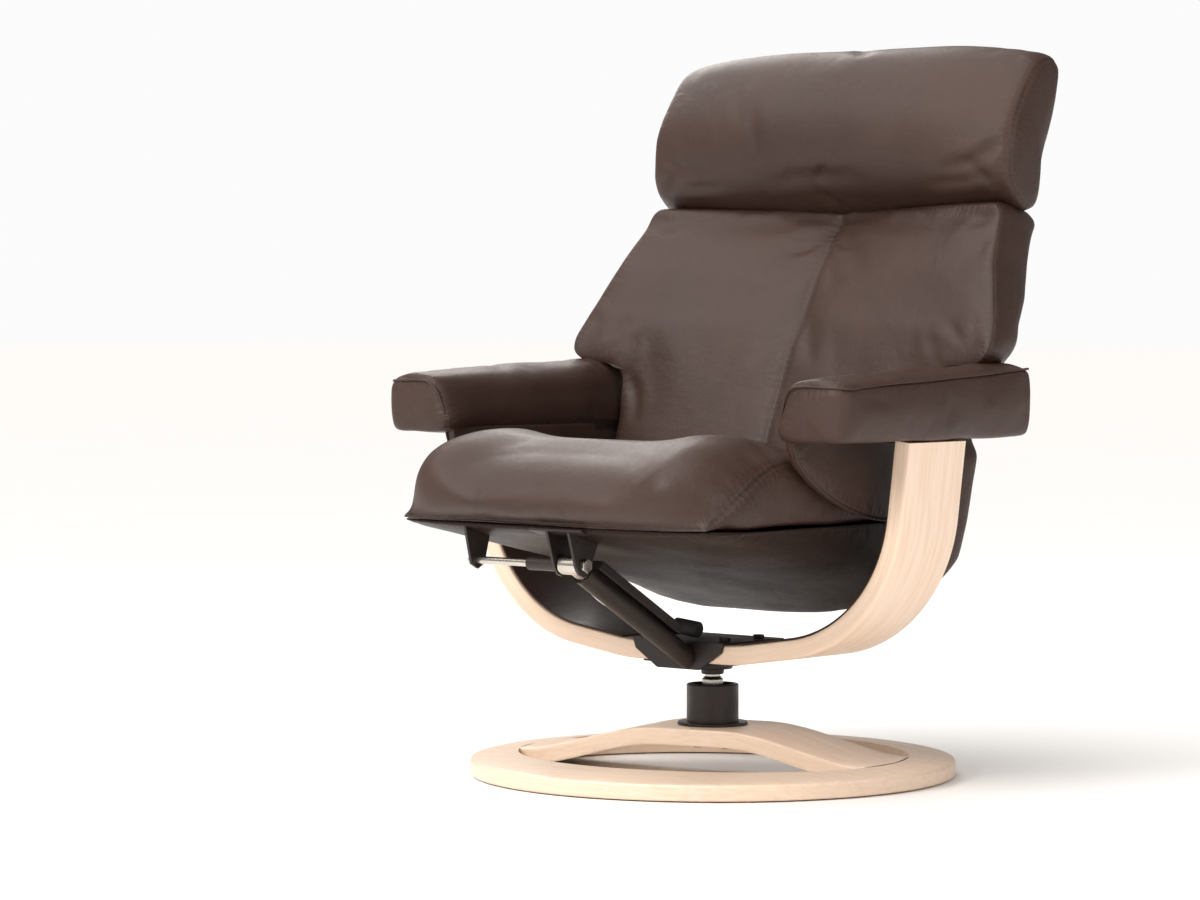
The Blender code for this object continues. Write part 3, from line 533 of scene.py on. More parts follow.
# painted shade: the leather of the shell under the seat is darkened and dulled to stand in for the shade
# beneath the seat
UNDERSIDE_PAINTED_SHADE = leather_material("leather_underside_painted_shade", True, 0.30)
BIRCH = birch_material("birch_bent", "run")
BIRCH_RING = birch_material("birch_ring", "height")
BLACK = metal_material("black_coat", (0.013, 0.007, 0.005), (0.021, 0.012, 0.008), 0.42, 0.1, 0.5)
ZINC = metal_material("zinc_plate", (0.60, 0.57, 0.52), (0.50, 0.46, 0.40), 0.26, 1.0, 0.15)
PLASTIC = metal_material("moulded_plastic", (0.020, 0.019, 0.019), (0.028, 0.026, 0.025), 0.52, 0.0, 0.8)
RUBBER = metal_material("buffer_rubber", (0.014, 0.013, 0.013), (0.022, 0.021, 0.020), 0.72, 0.0, 0.9)
PLY = metal_material("core_plywood", (0.60, 0.43, 0.28), (0.48, 0.33, 0.21), 0.60, 0.0, 0.6)
CLOTH = cloth_material()

FINISHES = {"birch_ply": BIRCH_RING, "core_ply": PLY, "black_steel": BLACK, "zinc_steel": ZINC,
            "brown_leather": WELT, "black_cloth": CLOTH, "black_plastic": PLASTIC,
            "black_rubber": RUBBER}
for part in frame["record"]["subparts"]:
    mesh = NODES[part["node"]].data
    mesh.materials.clear()
    mesh.materials.append(FINISHES[part["material_slot"]])


def dressed(piece, body, stands_for, finish=LEATHER):
    """Gives a piece its material, its body and the CAD nodes that it replaces."""
    piece.data.materials.clear()
    piece.data.materials.append(finish)
    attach(piece, body)
    if stands_for:
        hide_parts(*stands_for)


# ------------------------------------------------------------ back
BACK_CENTRE = [(0.060, 0.255), (0.070, 0.305), (0.085, 0.350), (0.100, 0.400), (0.116, 0.453),
               (0.140, 0.512), (0.166, 0.572), (0.194, 0.618), (0.228, 0.679), (0.254, 0.716),
               (0.275, 0.742), (0.283, 0.768)]
FACE_DISH = [(0.25, -0.004), (0.40, -0.004), (0.47, -0.002), (0.56, 0.035), (0.65, 0.045), (0.76, 0.060)]
REAR_EDGE = [(0.25, 0.110), (0.272, 0.150), (0.291, 0.172), (0.344, 0.190), (0.436, 0.214),
             (0.500, 0.225), (0.530, 0.215), (0.556, 0.182), (0.600, 0.205), (0.635, 0.238),
             (0.690, 0.273), (0.749, 0.312), (0.77, 0.318)]
BACK_OUTLINE = [(0.266, 0.250), (0.274, 0.310), (0.275, 0.400), (0.275, 0.500), (0.2755, 0.528),
                (0.288, 0.543), (0.318, 0.545), (0.346, 0.549), (0.362, 0.561), (0.366, 0.578),
                (0.360, 0.602), (0.346, 0.640), (0.327, 0.690), (0.314, 0.728), (0.306, 0.756),
                (0.294, 0.767)]
BACK_REAR = [(0.118, 0.258), (0.150, 0.264), (0.171, 0.291), (0.184, 0.344), (0.206, 0.436),
             (0.236, 0.490), (0.266, 0.557), (0.287, 0.635), (0.299, 0.690), (0.309, 0.726),
             (0.313, 0.748)]


BACK_SIDE_FOLDS = [
    ([(0.350, 0.140, 0.566), (0.315, 0.142, 0.578), (0.285, 0.145, 0.602)], 0.006, 0.0042),
    ([(0.335, 0.138, 0.556), (0.296, 0.138, 0.562), (0.262, 0.140, 0.580)], 0.006, 0.0040),
    ([(0.305, 0.136, 0.549), (0.276, 0.136, 0.556), (0.248, 0.142, 0.590)], 0.007, 0.0032),
    ([(0.352, 0.150, 0.585), (0.330, 0.150, 0.598), (0.312, 0.158, 0.625)], 0.006, 0.0030),
    ([(0.268, 0.132, 0.535), (0.246, 0.126, 0.505), (0.240, 0.118, 0.460)], 0.010, 0.0030),
    ([(0.292, 0.220, 0.745), (0.262, 0.225, 0.728), (0.235, 0.226, 0.700)], 0.009, 0.0022)]
BACK_TOP_FOLDS = [
    ([(0.008, 0.255, 0.722), (0.030, 0.246, 0.712), (0.060, 0.238, 0.712)], 0.005, 0.0026),
    ([(0.006, 0.262, 0.736), (0.028, 0.256, 0.730), (0.058, 0.250, 0.732)], 0.005, 0.0022),
    ([(-0.008, 0.250, 0.716), (-0.034, 0.240, 0.706), (-0.070, 0.232, 0.704)], 0.006, 0.0026)]
BACK_WING = 0.330                 # half width at which the wings reach their full depth


def build_back():
    """The padded back: a concave face in two panels, side gussets and a crowned rear."""
    rows = 74
    edge = spline(BACK_OUTLINE, rows)
    profile = spline(BACK_CENTRE, 400)
    rear_profile = spline(BACK_REAR, 400)
    dish = np.array(FACE_DISH)
    rear_edge = np.array(REAR_EDGE)
    columns = 89
    u = np.linspace(-1, 1, columns)
    a = np.abs(u)
    front = np.zeros((rows, columns, 3))
    rear = np.zeros((rows, columns, 3))
    even = np.linspace(edge[0, 1], edge[-1, 1], rows)
    for i, (half, level) in enumerate(edge):
        z = even[i] + (level - even[i]) * a ** 3
        y = np.interp(z, profile[:, 1], profile[:, 0])
        y_rear = np.interp(z, rear_profile[:, 1], rear_profile[:, 0])
        ahead = np.interp(z, dish[:, 0], dish[:, 1])
        y_edge = np.interp(z, rear_edge[:, 0], rear_edge[:, 1])
        reach = a * half / BACK_WING
        panel = np.sin(math.pi * np.minimum(reach, 1)) ** 0.8
        lift = 0.008 * soft_step((z - 0.28) / 0.10) * soft_step((0.790 - z) / 0.03)
        drop = 0.004 * (1 - a ** 2) * soft_step((z - 0.690) / 0.075)
        front[i, :, 0] = u * half
        front[i, :, 1] = y - ahead * reach ** 1.7 - lift * panel
        front[i, :, 2] = z - drop
        rear[i, :, 0] = u * (half - 0.004 + 0.016 * soft_step((0.455 - z) / 0.03))
        puff = 0.004 * soft_step((z - 0.26) / 0.08) * soft_step((0.76 - z) / 0.08)
        across = a ** 3
        rear[i, :, 1] = y_rear * (1 - across) + y_edge * across + puff * (1 - a ** 4)
        rear[i, :, 1] = np.maximum(rear[i, :, 1], front[i, :, 1] + 0.010)
        rear[i, :, 2] = z - drop * 0.4 - 0.018 * soft_step((z - 0.70) / 0.067)
    piece, rim, far_rim = boxed("back_upholstery", front, rear, 8, 0.003)
    centre = [i * columns + columns // 2 for i in range(rows)]
    base = [i * columns + j for i in range(6) for j in range(columns)]
    inflate(piece, [*rim, *far_rim, *centre, *base], 0.007, 1.8, 0.002)
    co = coordinates(piece)
    lines = [co[centre], co[rim + rim[:1]], co[far_rim + far_rim[:1]]]
    folds = [([(x * side, y, z) for x, y, z in points], width, depth)
             for side in (-1, 1) for points, width, depth in BACK_SIDE_FOLDS]
    folds += BACK_TOP_FOLDS
    creased(piece, folds)
    waved(piece, 0.0010, 0.18, 3)
    stitched(piece, lines, 0.0030, 0.005, 0.0003)
    finer(piece)
    dressed(piece, "backrest", ["back_cushion", "back_cover"])


# ------------------------------------------------------------ seat
SEAT_CENTRE = [(0.088, 0.372), (0.084, 0.402), (0.058, 0.421), (0.0, 0.423), (-0.050, 0.427),
               (-0.130, 0.437), (-0.200, 0.446), (-0.250, 0.446), (-0.296, 0.436), (-0.330, 0.412),
               (-0.343, 0.388), (-0.340, 0.366), (-0.326, 0.351)]
SEAT_SEAM = [(0.088, 0.362), (0.083, 0.382), (0.058, 0.398), (0.0, 0.410), (-0.050, 0.416),
             (-0.110, 0.425), (-0.160, 0.430), (-0.196, 0.429), (-0.230, 0.417), (-0.264, 0.396),
             (-0.290, 0.376), (-0.310, 0.362), (-0.326, 0.353)]
SEAT_UNDER = [(0.070, 0.349), (0.062, 0.348), (0.040, 0.348), (0.0, 0.348), (-0.050, 0.348),
              (-0.110, 0.348), (-0.160, 0.348), (-0.196, 0.348), (-0.230, 0.348), (-0.264, 0.348),
              (-0.290, 0.348), (-0.308, 0.347), (-0.322, 0.347)]
SEAT_HALF = 0.277


def build_seat():
    """The crowned seat cushion, which rolls down over its front edge."""
    rows, columns = 66, 73
    centre = spline(SEAT_CENTRE, rows)
    side = spline(SEAT_SEAM, rows)
    under = spline(SEAT_UNDER, rows)
    u = np.linspace(-1, 1, columns)
    a = np.abs(u)
    blend = np.clip((a - 0.70) / 0.30, 0, 1) ** 2.2
    top = np.zeros((rows, columns, 3))
    low = np.zeros((rows, columns, 3))
    crest = np.exp(-(((a - 0.72) / 0.20) ** 2))
    for i in range(rows):
        y, z = centre[i]
        raised = 0.012 * crest * soft_step((-0.02 - y) / 0.16) * soft_step((z - 0.36) / 0.05)
        half = SEAT_HALF - 0.016 * soft_step((-0.255 - side[i, 0]) / 0.07)
        top[i, :, 0] = u * half
        top[i, :, 1] = y + (side[i, 0] - y) * blend - 0.3 * raised
        top[i, :, 2] = z + (side[i, 1] - z) * blend + raised
        low[i, :, 0] = u * (half - 0.004)
        low[i, :, 1] = under[i, 0]
        low[i, :, 2] = under[i, 1]
    piece, rim, far_rim = boxed("seat_upholstery", top, low, 7, 0.004)
    size = rows * columns
    base = [size + k for k in range(size)]
    inflate(piece, [*rim, *far_rim, *base], 0.008, 2.2, 0.002)
    co = coordinates(piece)
    lines = [co[rim + rim[:1]], co[far_rim + far_rim[:1]]]
    creased(piece, [
        ([(0.270, -0.20, 0.436), (0.225, -0.185, 0.452), (0.170, -0.150, 0.448)], 0.008, 0.0028),
        ([(-0.270, -0.20, 0.436), (-0.225, -0.185, 0.452), (-0.170, -0.150, 0.448)], 0.008, 0.0028),
        ([(0.276, -0.100, 0.424), (0.240, -0.080, 0.436), (0.190, -0.050, 0.432)], 0.009, 0.0030),
        ([(-0.276, -0.100, 0.424), (-0.240, -0.080, 0.436), (-0.190, -0.050, 0.432)], 0.009, 0.0030),
        ([(0.272, -0.268, 0.396), (0.230, -0.300, 0.410), (0.160, -0.322, 0.412)], 0.010, 0.0025),
        ([(-0.272, -0.268, 0.396), (-0.230, -0.300, 0.410), (-0.160, -0.322, 0.412)], 0.010, 0.0025),
        ([(0.200, 0.040, 0.424), (0.080, 0.020, 0.424), (-0.070, 0.030, 0.424)], 0.014, 0.0022)])
    waved(piece, 0.0012, 0.17, 5)
    stitched(piece, lines, 0.0026, 0.005, 0.0003)
    finer(piece)
    dressed(piece, "seat", ["seat_cushion"])


def build_seat_body():
    """The leather-covered shell under the seat, rounded like a shallow hull."""
    stations = [(-0.324, 0.3465, 0.341), (-0.312, 0.3465, 0.334), (-0.290, 0.3460, 0.327),
                (-0.240, 0.3455, 0.3125), (-0.180, 0.3455, 0.2965), (-0.120, 0.3455, 0.2815),
                (-0.060, 0.3455, 0.2655), (0.000, 0.3455, 0.247), (0.050, 0.3455, 0.2295),
                (0.086, 0.340, 0.2160), (0.098, 0.330, 0.2140)]
    line = spline(stations, 60)
    around = 64
    sections = []
    for y, high, low in line:
        loop = []
        drop = high - low
        for k in range(around):
            t = math.pi * k / (around - 1)
            c, s = math.cos(t), math.sin(t)
            x = math.copysign(abs(c) ** (2 / 3.2), c)
            z = abs(s) ** (2 / 2.6)
            narrow = 1 - 0.035 * min(1.0, drop / 0.10)
            nose = 0.276 - 0.020 * max(0.0, (-0.285 - y) / 0.039) ** 1.5
            wide = nose * narrow + nose * (1 - narrow) * (1 - z)
            y_here = y
            if y > 0.05:
                y_here = y - (y - 0.05) * 0.5 * (1 - z)
            loop.append((wide * x, y_here, high - drop * z))
        sections.append(loop)
    upper = []
    for (y, high, low), loop in zip(line, sections):
        upper.append([(x, loop[k][1], high) for k, (x, _, _) in enumerate(loop)])
    bottom = np.array(sections)
    lid = np.array(upper)
    lid[:, :, 2] -= 0.0006
    piece, rim, _ = boxed("seat_body", bottom, lid, 1, 0.0)
    waved(piece, 0.0009, 0.15, 9)
    co = coordinates(piece)
    stitched(piece, [co[rim + rim[:1]]], 0.0012, 0.004, 0.0008)
    finer(piece)
    # the shell under the seat takes the leather with painted shade
    dressed(piece, "seat", ["seat_pan"], UNDERSIDE_PAINTED_SHADE)


# ------------------------------------------------------------ headrest
HEAD_END = [(0.257, 0.7705), (0.244, 0.784), (0.2365, 0.803), (0.237, 0.826), (0.243, 0.865),
            (0.262, 0.905), (0.282, 0.933), (0.300, 0.952), (0.322, 0.963), (0.346, 0.962),
            (0.359, 0.948), (0.356, 0.925), (0.346, 0.890), (0.336, 0.860), (0.318, 0.815),
            (0.313, 0.779), (0.305, 0.7590), (0.290, 0.7515), (0.272, 0.7585)]


def build_headrest():
    """The headrest roll, seamed around its end caps and along its rear and underside."""
    around = 84
    loop = spline(HEAD_END, around, closed=True)
    centre = loop.mean(0)
    ahead = np.roll(loop, -1, 0) - np.roll(loop, 1, 0)
    out = np.stack([-ahead[:, 1], ahead[:, 0]], 1)
    out /= np.linalg.norm(out, axis=1)[:, None]
    if ((loop - centre) * out).sum() < 0:
        out = -out
    front = np.clip(-out[:, 0] * 0.75 + out[:, 1] * 0.35, 0, 1)
    top = np.clip(out[:, 1], 0, 1)
    half = 0.313
    columns = 82
    sections = []
    for u in np.linspace(-1, 1, columns):
        a = abs(u)
        swell = 1 - a ** 3.5
        tuck = 0.0035 * np.clip((a - 0.93) / 0.07, 0, 1) ** 2
        grow = (0.014 * front + 0.014 * top + 0.001) * swell - tuck
        place = loop + out * grow[:, None]
        sections.append([(u * half, y, z) for y, z in place])
    piece, first, last = barrel("headrest_upholstery", np.array(sections), 7, 0.006)
    rear_line = []
    j_rear = int(np.argmax(loop[:, 0] + loop[:, 1]))
    for i in range(columns):
        rear_line.append(i * around + j_rear)
    j_low = int(np.argmin(loop[:, 1] - 0.4 * loop[:, 0]))
    low_line = [i * around + j_low for i in range(columns)]
    caps = list(range(columns * around, len(piece.data.vertices)))
    inflate(piece, [*first, *last, *rear_line, *low_line, *caps], 0.006, 1.8, 0.002)
    co = coordinates(piece)
    lines = [co[first + first[:1]], co[last + last[:1]], co[rear_line], co[low_line]]
    creased(piece, [
        ([(-0.300, 0.245, 0.845), (-0.250, 0.232, 0.822), (-0.185, 0.229, 0.818)], 0.009, 0.0042),
        ([(-0.296, 0.250, 0.812), (-0.240, 0.236, 0.796), (-0.170, 0.234, 0.797)], 0.007, 0.0035),
        ([(0.302, 0.243, 0.850), (0.262, 0.232, 0.822), (0.200, 0.230, 0.808)], 0.009, 0.0042),
        ([(0.300, 0.250, 0.812), (0.245, 0.236, 0.797), (0.180, 0.235, 0.792)], 0.007, 0.0035),
        ([(-0.130, 0.235, 0.905), (-0.115, 0.233, 0.860), (-0.090, 0.230, 0.820)], 0.013, 0.0024),
        ([(-0.165, 0.262, 0.935), (-0.150, 0.240, 0.885), (-0.135, 0.231, 0.840)], 0.010, 0.0020),
        ([(0.080, 0.229, 0.800), (0.0, 0.228, 0.806), (-0.100, 0.230, 0.800)], 0.010, 0.0022)])
    waved(piece, 0.0012, 0.15, 11)
    stitched(piece, lines, 0.0026, 0.005, 0.0003)
    finer(piece)
    dressed(piece, "headrest", ["headrest_cushion", "headrest_cover"])


# ------------------------------------------------------------ armrests
ARM_RISE = [(-0.222, 0.524), (-0.140, 0.528), (-0.020, 0.532), (0.090, 0.537), (0.176, 0.542)]


def build_arm(side, word, made):
    """The armrest pad; the second one is the mirrored mesh of the first."""
    rise = np.array(ARM_RISE)
    around = 60
    columns = 58
    if made is None:
        sections = []
        for t in np.linspace(0, 1, columns):
            y = -0.218 + 0.393 * t
            high = np.interp(y, rise[:, 0], rise[:, 1])
            crown = high + 0.011 + 0.002 * math.sin(math.pi * t)
            end = max(0.0, 1 - (y + 0.222) / 0.030)
            pull = 0.020 * (1 - math.sqrt(max(0.0, 1 - end ** 2)))
            inner, outer = 0.2955 + pull * 0.6, 0.3965 - pull
            low = 0.4565 + pull * 0.10
            shape = [(inner - 0.006, 0.500), (inner, high - 0.008), (inner + 0.012, high + 0.006),
                     (inner + 0.035, crown - 0.001), (0.350, crown), (outer - 0.020, crown - 0.004),
                     (outer - 0.004, high + 0.001), (outer, high - 0.010), (outer + 0.001, 0.500),
                     (outer - 0.001, low + 0.014), (outer - 0.006, low + 0.003), (outer - 0.016, low),
                     (0.350, low), (inner + 0.004, low), (inner - 0.010, low + 0.004),
                     (inner - 0.0135, low + 0.016)]
            loop = spline(shape, around, closed=True)
            sections.append([(x, y, z) for x, z in loop])
        sections = np.array(sections)
        piece, _, last = barrel("armrest_pad_" + word, sections, 5, 0.004)
        loop = sections[10]
        j_seam = int(np.argmin(np.abs(loop[:, 2] - np.interp(loop[0, 1], rise[:, 0], rise[:, 1]))
                               + 10 * (loop[:, 0] < 0.38)))
        seam = [i * around + j_seam for i in range(columns)]
        flat_part = [k for k, v in enumerate(coordinates(piece)) if v[2] < 0.4600]
        inflate(piece, [*seam, *last, *flat_part], 0.005, 1.8, 0.002)
        co = coordinates(piece)
        corner = [(0.3935, -0.205, 0.5245), (0.383, -0.2165, 0.5255), (0.362, -0.2215, 0.5265),
                  (0.335, -0.2225, 0.5270), (0.314, -0.2215, 0.5245), (0.3025, -0.2190, 0.5150),
                  (0.2960, -0.2165, 0.500), (0.2900, -0.2140, 0.480), (0.2895, -0.2080, 0.462)]
        outer_run = [p for p in co[seam][::-1] if p[1] > -0.198]
        lines = [spline([*outer_run[::4], *corner], 160), co[last + last[:1]]]
        creased(piece, [
            ([(0.394, -0.205, 0.505), (0.396, -0.165, 0.512), (0.396, -0.120, 0.505)], 0.009, 0.0018),
            ([(0.300, -0.200, 0.545), (0.330, -0.185, 0.548), (0.372, -0.190, 0.540)], 0.008, 0.0018),
            ([(0.300, -0.080, 0.538), (0.335, -0.060, 0.547), (0.375, -0.070, 0.542)], 0.010, 0.0014)])
        waved(piece, 0.0009, 0.12, 13)
        stitched(piece, lines, 0.0020, 0.004, 0.0003)
        result = (piece, [np.array(p) for p in lines])
    else:
        source, lines = made
        mesh = source.data.copy()
        piece = bpy.data.objects.new("armrest_pad_" + word, mesh)
        bpy.context.scene.collection.objects.link(piece)
        co = coordinates(piece)
        co[:, 0] *= -1
        set_coordinates(piece, co)
        mesh.flip_normals()
        result = (piece, lines)
    finer(piece)
    dressed(piece, "chassis", ["armrest_" + word, "arm_board_" + word])
    welt = result[1][0] * np.array([side, 1, 1])
    cord_line("armrest_welt_" + word, resampled(welt, 120), 0.0016, WELT, "chassis")
    return result


PANEL_EDGE = [(-0.203, 0.462), (-0.199, 0.447), (-0.188, 0.428), (-0.157, 0.402), (-0.106, 0.375),
              (-0.050, 0.357), (0.005, 0.351), (0.055, 0.359), (0.098, 0.382), (0.128, 0.420),
              (0.136, 0.445), (0.138, 0.462)]


def build_panel(side, word):
    """The leather panel that hangs from the inner side of an armrest."""
    columns, rows = 60, 22
    edge = spline(PANEL_EDGE, columns)
    outer = np.zeros((rows, columns, 3))
    inner = np.zeros((rows, columns, 3))
    for i in range(rows):
        t = i / (rows - 1)
        y = edge[:, 0] * (1 - t) + np.interp(np.linspace(0, 1, columns), [0, 1], [-0.203, 0.138]) * t
        z = edge[:, 1] * (1 - t) + 0.4640 * t
        across = np.sin(math.pi * np.clip(np.linspace(0, 1, columns), 0, 1)) ** 0.5
        swell = (1 - (1 - min(1.0, t * 3.0)) ** 2) * across
        outer[i, :, 0] = (0.2990 + 0.0045 * swell) * side
        inner[i, :, 0] = (0.2875 - 0.0060 * swell) * side
        outer[i, :, 1] = inner[i, :, 1] = y
        outer[i, :, 2] = inner[i, :, 2] = z
    piece, rim, _ = boxed("armrest_skirt_" + word, outer, inner, 2, 0.001)
    co = coordinates(piece)
    seam = co[rim[:columns]]
    waved(piece, 0.0006, 0.10, 17)
    stitched(piece, [seam], 0.0004, 0.004, 0.0012)
    finer(piece)
    dressed(piece, "chassis", ["arm_panel_" + word])
    line = spline(PANEL_EDGE, 110)
    points = [(0.2995 * side, y, z) for y, z in line]
    cord_line("armrest_skirt_welt_" + word, points, 0.0017, WELT, "chassis")


# ------------------------------------------------------------ bent birch
def bent_strip(name, line, thickness, low, high, body, node, bevel=0.0028, lined=False):
    """A laminated strip that follows a centre line in the XZ plane, with rounded edges."""
    line = np.array(line)
    heading = np.gradient(line, axis=0)
    heading /= np.linalg.norm(heading, axis=1)[:, None]
    side = np.stack([-heading[:, 1], heading[:, 0]], 1)
    run = np.concatenate([[0], np.cumsum(np.linalg.norm(np.diff(line, axis=0), axis=1))])
    h = thickness / 2
    b = bevel
    ring = []
    for cy, ch, start in ((high - b, h - b, 0), (high - b, -h + b, -90), (low + b, -h + b, -180),
                          (low + b, h - b, -270)):
        for k in range(4):
            angle = math.radians(start + 90 - 30 * k)
            ring.append((cy + b * math.cos(angle), ch + b * math.sin(angle)))
    between = 3
    full = []
    for k, p in enumerate(ring):
        q = ring[(k + 1) % len(ring)]
        full.append(p)
        if k % 4 == 3:
            for m in range(1, between + 1):
                t = m / (between + 1)
                full.append((p[0] + (q[0] - p[0]) * t, p[1] + (q[1] - p[1]) * t))
    verts, faces = [], []
    depth, length, edge = [], [], []
    n = len(full)
    for (x, z), (sx, sz), s in zip(line, side, run):
        for y, d in full:
            verts.append((x + sx * d, y, z + sz * d))
            depth.append(d + h)
            length.append(s)
            edge.append(1.0 if y < low + b * 0.75 or y > high - b * 0.75 else 0.0)
    for i in range(len(line) - 1):
        for k in range(n):
            m = (k + 1) % n
            faces.append((i * n + k, i * n + m, (i + 1) * n + m, (i + 1) * n + k))
    faces.append(tuple(range(n)))
    faces.append(tuple((len(line) - 1) * n + k for k in range(n - 1, -1, -1)))
    piece = new_object(name, verts, faces)
    piece.data.set_sharp_from_angle(angle=math.radians(40))
    if lined:
        dressed(piece, body, [node], WELT)
    else:
        for key, value in (("ply_depth", depth), ("length_run", length), ("edge_face", edge)):
            attribute = piece.data.attributes.new(key, "FLOAT", "POINT")
            attribute.data.foreach_set("value", np.array(value, np.float32))
        dressed(piece, body, [node], BIRCH)
    return piece


def arc_path(corners, radii, steps):
    """A path of straight runs joined by arcs of the given radii."""
    path = [Vector(corners[0])]
    for before, here, after, radius in zip(corners, corners[1:], corners[2:], radii):
        here = Vector(here)
        back = (Vector(before) - here).normalized()
        ahead = (Vector(after) - here).normalized()
        half = back.angle(ahead) / 2
        centre = here + (back + ahead).normalized() * radius / math.sin(half)
        first = here + back * radius / math.tan(half) - centre
        last = here + ahead * radius / math.tan(half) - centre
        for k in range(steps + 1):
            path.append(centre + first.slerp(last, k / steps) * radius)
    path.append(Vector(corners[-1]))
    return path


LEG_LEAN = math.radians(7.0)
LEG_TOP = 0.4552
LEG_THICKNESS = 0.025
LEG_SPAN = (-0.068, 0.052)        # front and rear edges of the strip
LINING = 0.0026


def leg_path():
    """Centre line of the bent U frame, from the right armrest to the left one."""
    corner = Vector((0.3386, 0, 0.2032))
    knee = Vector((0.095, 0, 0.1675))
    up = Vector((math.sin(LEG_LEAN), 0, math.cos(LEG_LEAN)))
    top = corner + up * ((LEG_TOP - corner.z) / up.z)
    half = [knee, corner, top]
    other = [Vector((-p.x, 0, p.z)) for p in reversed(half)]
    path = arc_path(other + half, [0.200, 0.250, 0.250, 0.200], 40)
    return np.array([(p.x, p.z) for p in path])


def build_wood():
    """The bent U frame, and the leather glued to its inner faces."""
    line = leg_path()
    bent_strip("leg_bow", line, LEG_THICKNESS, *LEG_SPAN, "chassis", "leg_frame")
    for side, word in ((1, "left"), (-1, "right")):
        part = np.array([p for p in line if p[0] * side > 0.105 and p[1] < 0.4500])
        if side < 0:
            part = part[::-1]
        heading = np.gradient(part, axis=0)
        heading /= np.linalg.norm(heading, axis=1)[:, None]
        inward = np.stack([-heading[:, 1], heading[:, 0]], 1) * side
        middle = part + inward * (LEG_THICKNESS / 2 + 0.0017)
        bent_strip("leg_lining_" + word, middle, LINING, -0.065, 0.049, "chassis",
                   "leg_liner_" + word, 0.0012, True)


BRIDGE_HALF = 0.2665
BRIDGE_HALF_WIDTH = 0.074
BRIDGE_THICKNESS = 0.023
BRIDGE_CROWN = 0.0665             # top of the bridge under the column
BRIDGE_END = 0.029                # top of the bridge at the ring
BRIDGE_TRIM = 0.20                # past this the ends are shaped to the ring's opening
OPENING = (0.2675, 0.2345)        # half axes of the ring's oval opening
BASE_TURN = math.radians(14)


def build_bridge():
    """The arched bridge across the floor ring, its ends cut to the ring's oval opening."""
    stations = []
    for k in range(81):
        s = BRIDGE_HALF * (k / 40 - 1)
        part = min(max((abs(s) - 0.048) / (0.268 - 0.056), 0.0), 1.0)
        rise = BRIDGE_CROWN + (BRIDGE_END - BRIDGE_CROWN) * part * part * (3 - 2 * part)
        stations.append((s, rise - BRIDGE_THICKNESS / 2))
    piece = bent_strip("base_bow", stations, BRIDGE_THICKNESS, -BRIDGE_HALF_WIDTH, BRIDGE_HALF_WIDTH,
                       "base", "base_bridge")
    co = coordinates(piece)
    for v in co:
        limit = OPENING[0] * math.sqrt(max(0.0, 1 - (v[1] / OPENING[1]) ** 2))
        if abs(v[0]) > BRIDGE_TRIM:
            reach = (abs(v[0]) - BRIDGE_TRIM) / (BRIDGE_HALF - BRIDGE_TRIM)
            v[0] = math.copysign(BRIDGE_TRIM + (limit - 0.0003 - BRIDGE_TRIM) * reach, v[0])
    turned = np.array(Matrix.Rotation(BASE_TURN, 4, "Z").to_3x3())
    set_coordinates(piece, co @ turned.T)


# ------------------------------------------------------------ camera, light, floor
VIEW_AZIMUTH = math.radians(40)
VIEW_DISTANCE = 5.434
VIEW_HEIGHT = 0.6356
WARM_WHITE = (1.0, 0.97, 0.94)


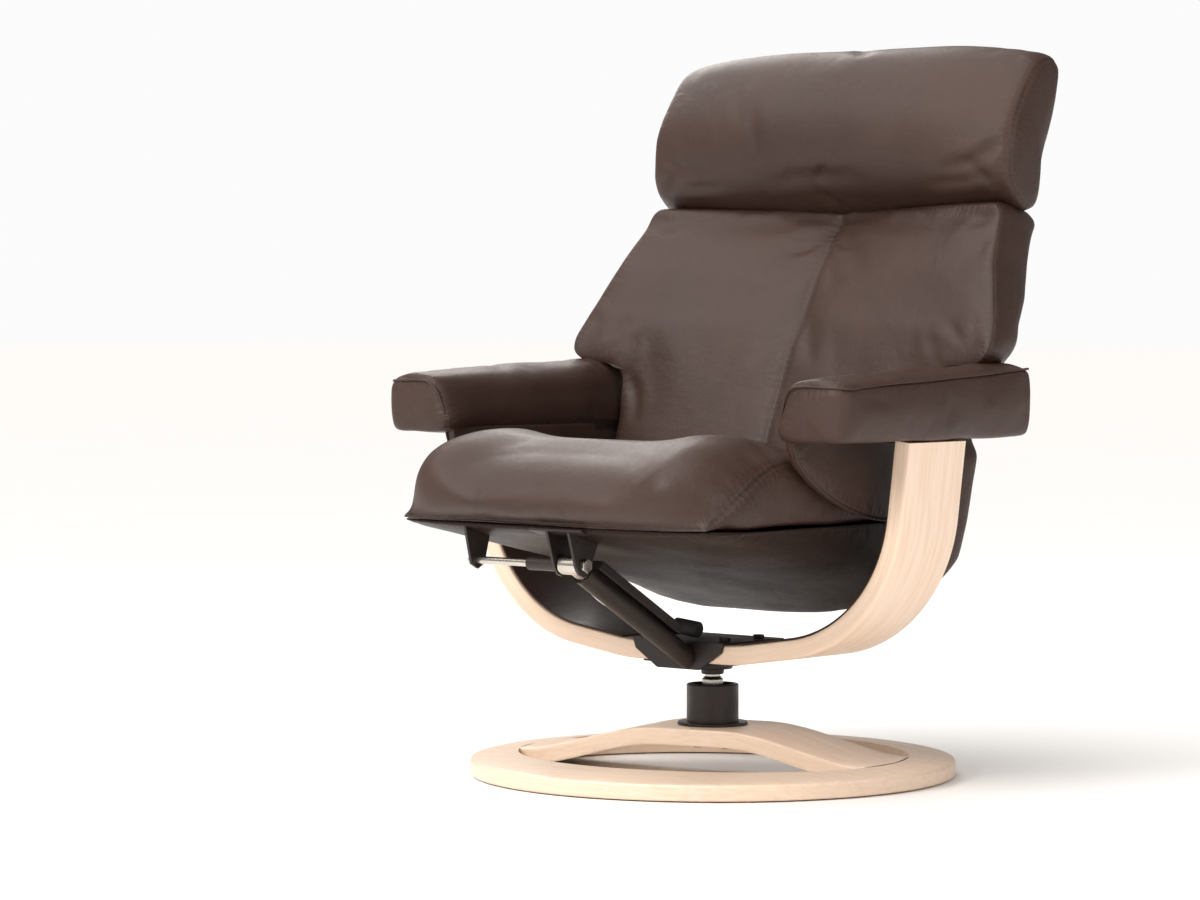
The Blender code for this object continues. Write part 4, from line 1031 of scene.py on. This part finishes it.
def build_stage():
    """The camera, a pale floor that fades into white surroundings, and soft studio lights."""
    scene = bpy.context.scene
    camera = bpy.data.cameras.new("camera")
    camera.lens = 121.95
    camera.sensor_width = 36
    camera.clip_end = 100
    eye = bpy.data.objects.new("camera", camera)
    eye.location = (VIEW_DISTANCE * math.sin(VIEW_AZIMUTH), -VIEW_DISTANCE * math.cos(VIEW_AZIMUTH),
                    VIEW_HEIGHT)
    eye.rotation_euler = (math.radians(90 - 2.124), 0, math.radians(41.591))
    scene.collection.objects.link(eye)
    scene.camera = eye

    mesh = bpy.data.meshes.new("floor")
    size = 40
    mesh.from_pydata([(-size, -size, 0), (size, -size, 0), (size, size, 0), (-size, size, 0)], [],
                     [(0, 1, 2, 3)])
    floor = bpy.data.objects.new("floor", mesh)
    scene.collection.objects.link(floor)
    m = Maker("floor_paint", (0.95, 0.95, 0.95), 0.7, Specular_IOR_Level=0.2)
    m.colour(m.mix(m.noise(2.0), (0.945, 0.94, 0.935, 1), (0.96, 0.96, 0.96, 1)))
    mesh.materials.append(m.material)

    world = bpy.data.worlds.new("world")
    world.use_nodes = True
    tree = world.node_tree
    ambient = tree.nodes["Background"]
    ambient.inputs["Color"].default_value = (*WARM_WHITE, 1)
    ambient.inputs["Strength"].default_value = 0.30
    seen = tree.nodes.new("ShaderNodeBackground")
    seen.inputs["Color"].default_value = (1.0, 1.0, 1.0, 1)
    seen.inputs["Strength"].default_value = 0.97
    ray = tree.nodes.new("ShaderNodeLightPath")
    choice = tree.nodes.new("ShaderNodeMixShader")
    tree.links.new(ray.outputs["Is Camera Ray"], choice.inputs[0])
    tree.links.new(ambient.outputs[0], choice.inputs[1])
    tree.links.new(seen.outputs[0], choice.inputs[2])
    tree.links.new(choice.outputs[0], tree.nodes["World Output"].inputs["Surface"])
    scene.world = world
    scene.view_settings.view_transform = "Standard"

    sun = bpy.data.lights.new("sky", "SUN")
    sun.energy = 2.9
    sun.angle = math.radians(70)
    sun.color = WARM_WHITE
    high = bpy.data.objects.new("sky", sun)
    high.rotation_euler = (math.radians(24), math.radians(-14), 0)
    scene.collection.objects.link(high)
    for name, place, aim, size, power in (
            ("key", (-0.6, -3.6, 2.3), (0, 0, 0.5), 1.6, 74),
            ("side", (3.0, -1.0, 1.5), (0, 0.1, 0.5), 1.3, 26),
            ("rim", (-2.4, 1.8, 2.4), (0, 0.1, 0.7), 1.6, 40)):
        lamp = bpy.data.lights.new(name, "AREA")
        lamp.shape = "SQUARE"
        lamp.size = size
        lamp.energy = power
        lamp.color = (1.0, 0.96, 0.92)
        light = bpy.data.objects.new(name, lamp)
        light.location = place
        way = Vector(aim) - Vector(place)
        light.rotation_euler = way.to_track_quat("-Z", "Y").to_euler()
        scene.collection.objects.link(light)


build_stage()
build_wood()
build_bridge()
build_back()
build_seat()
build_seat_body()
build_headrest()
arm_made = build_arm(1, "left", None)
build_arm(-1, "right", arm_made)
build_panel(1, "left")
build_panel(-1, "right")
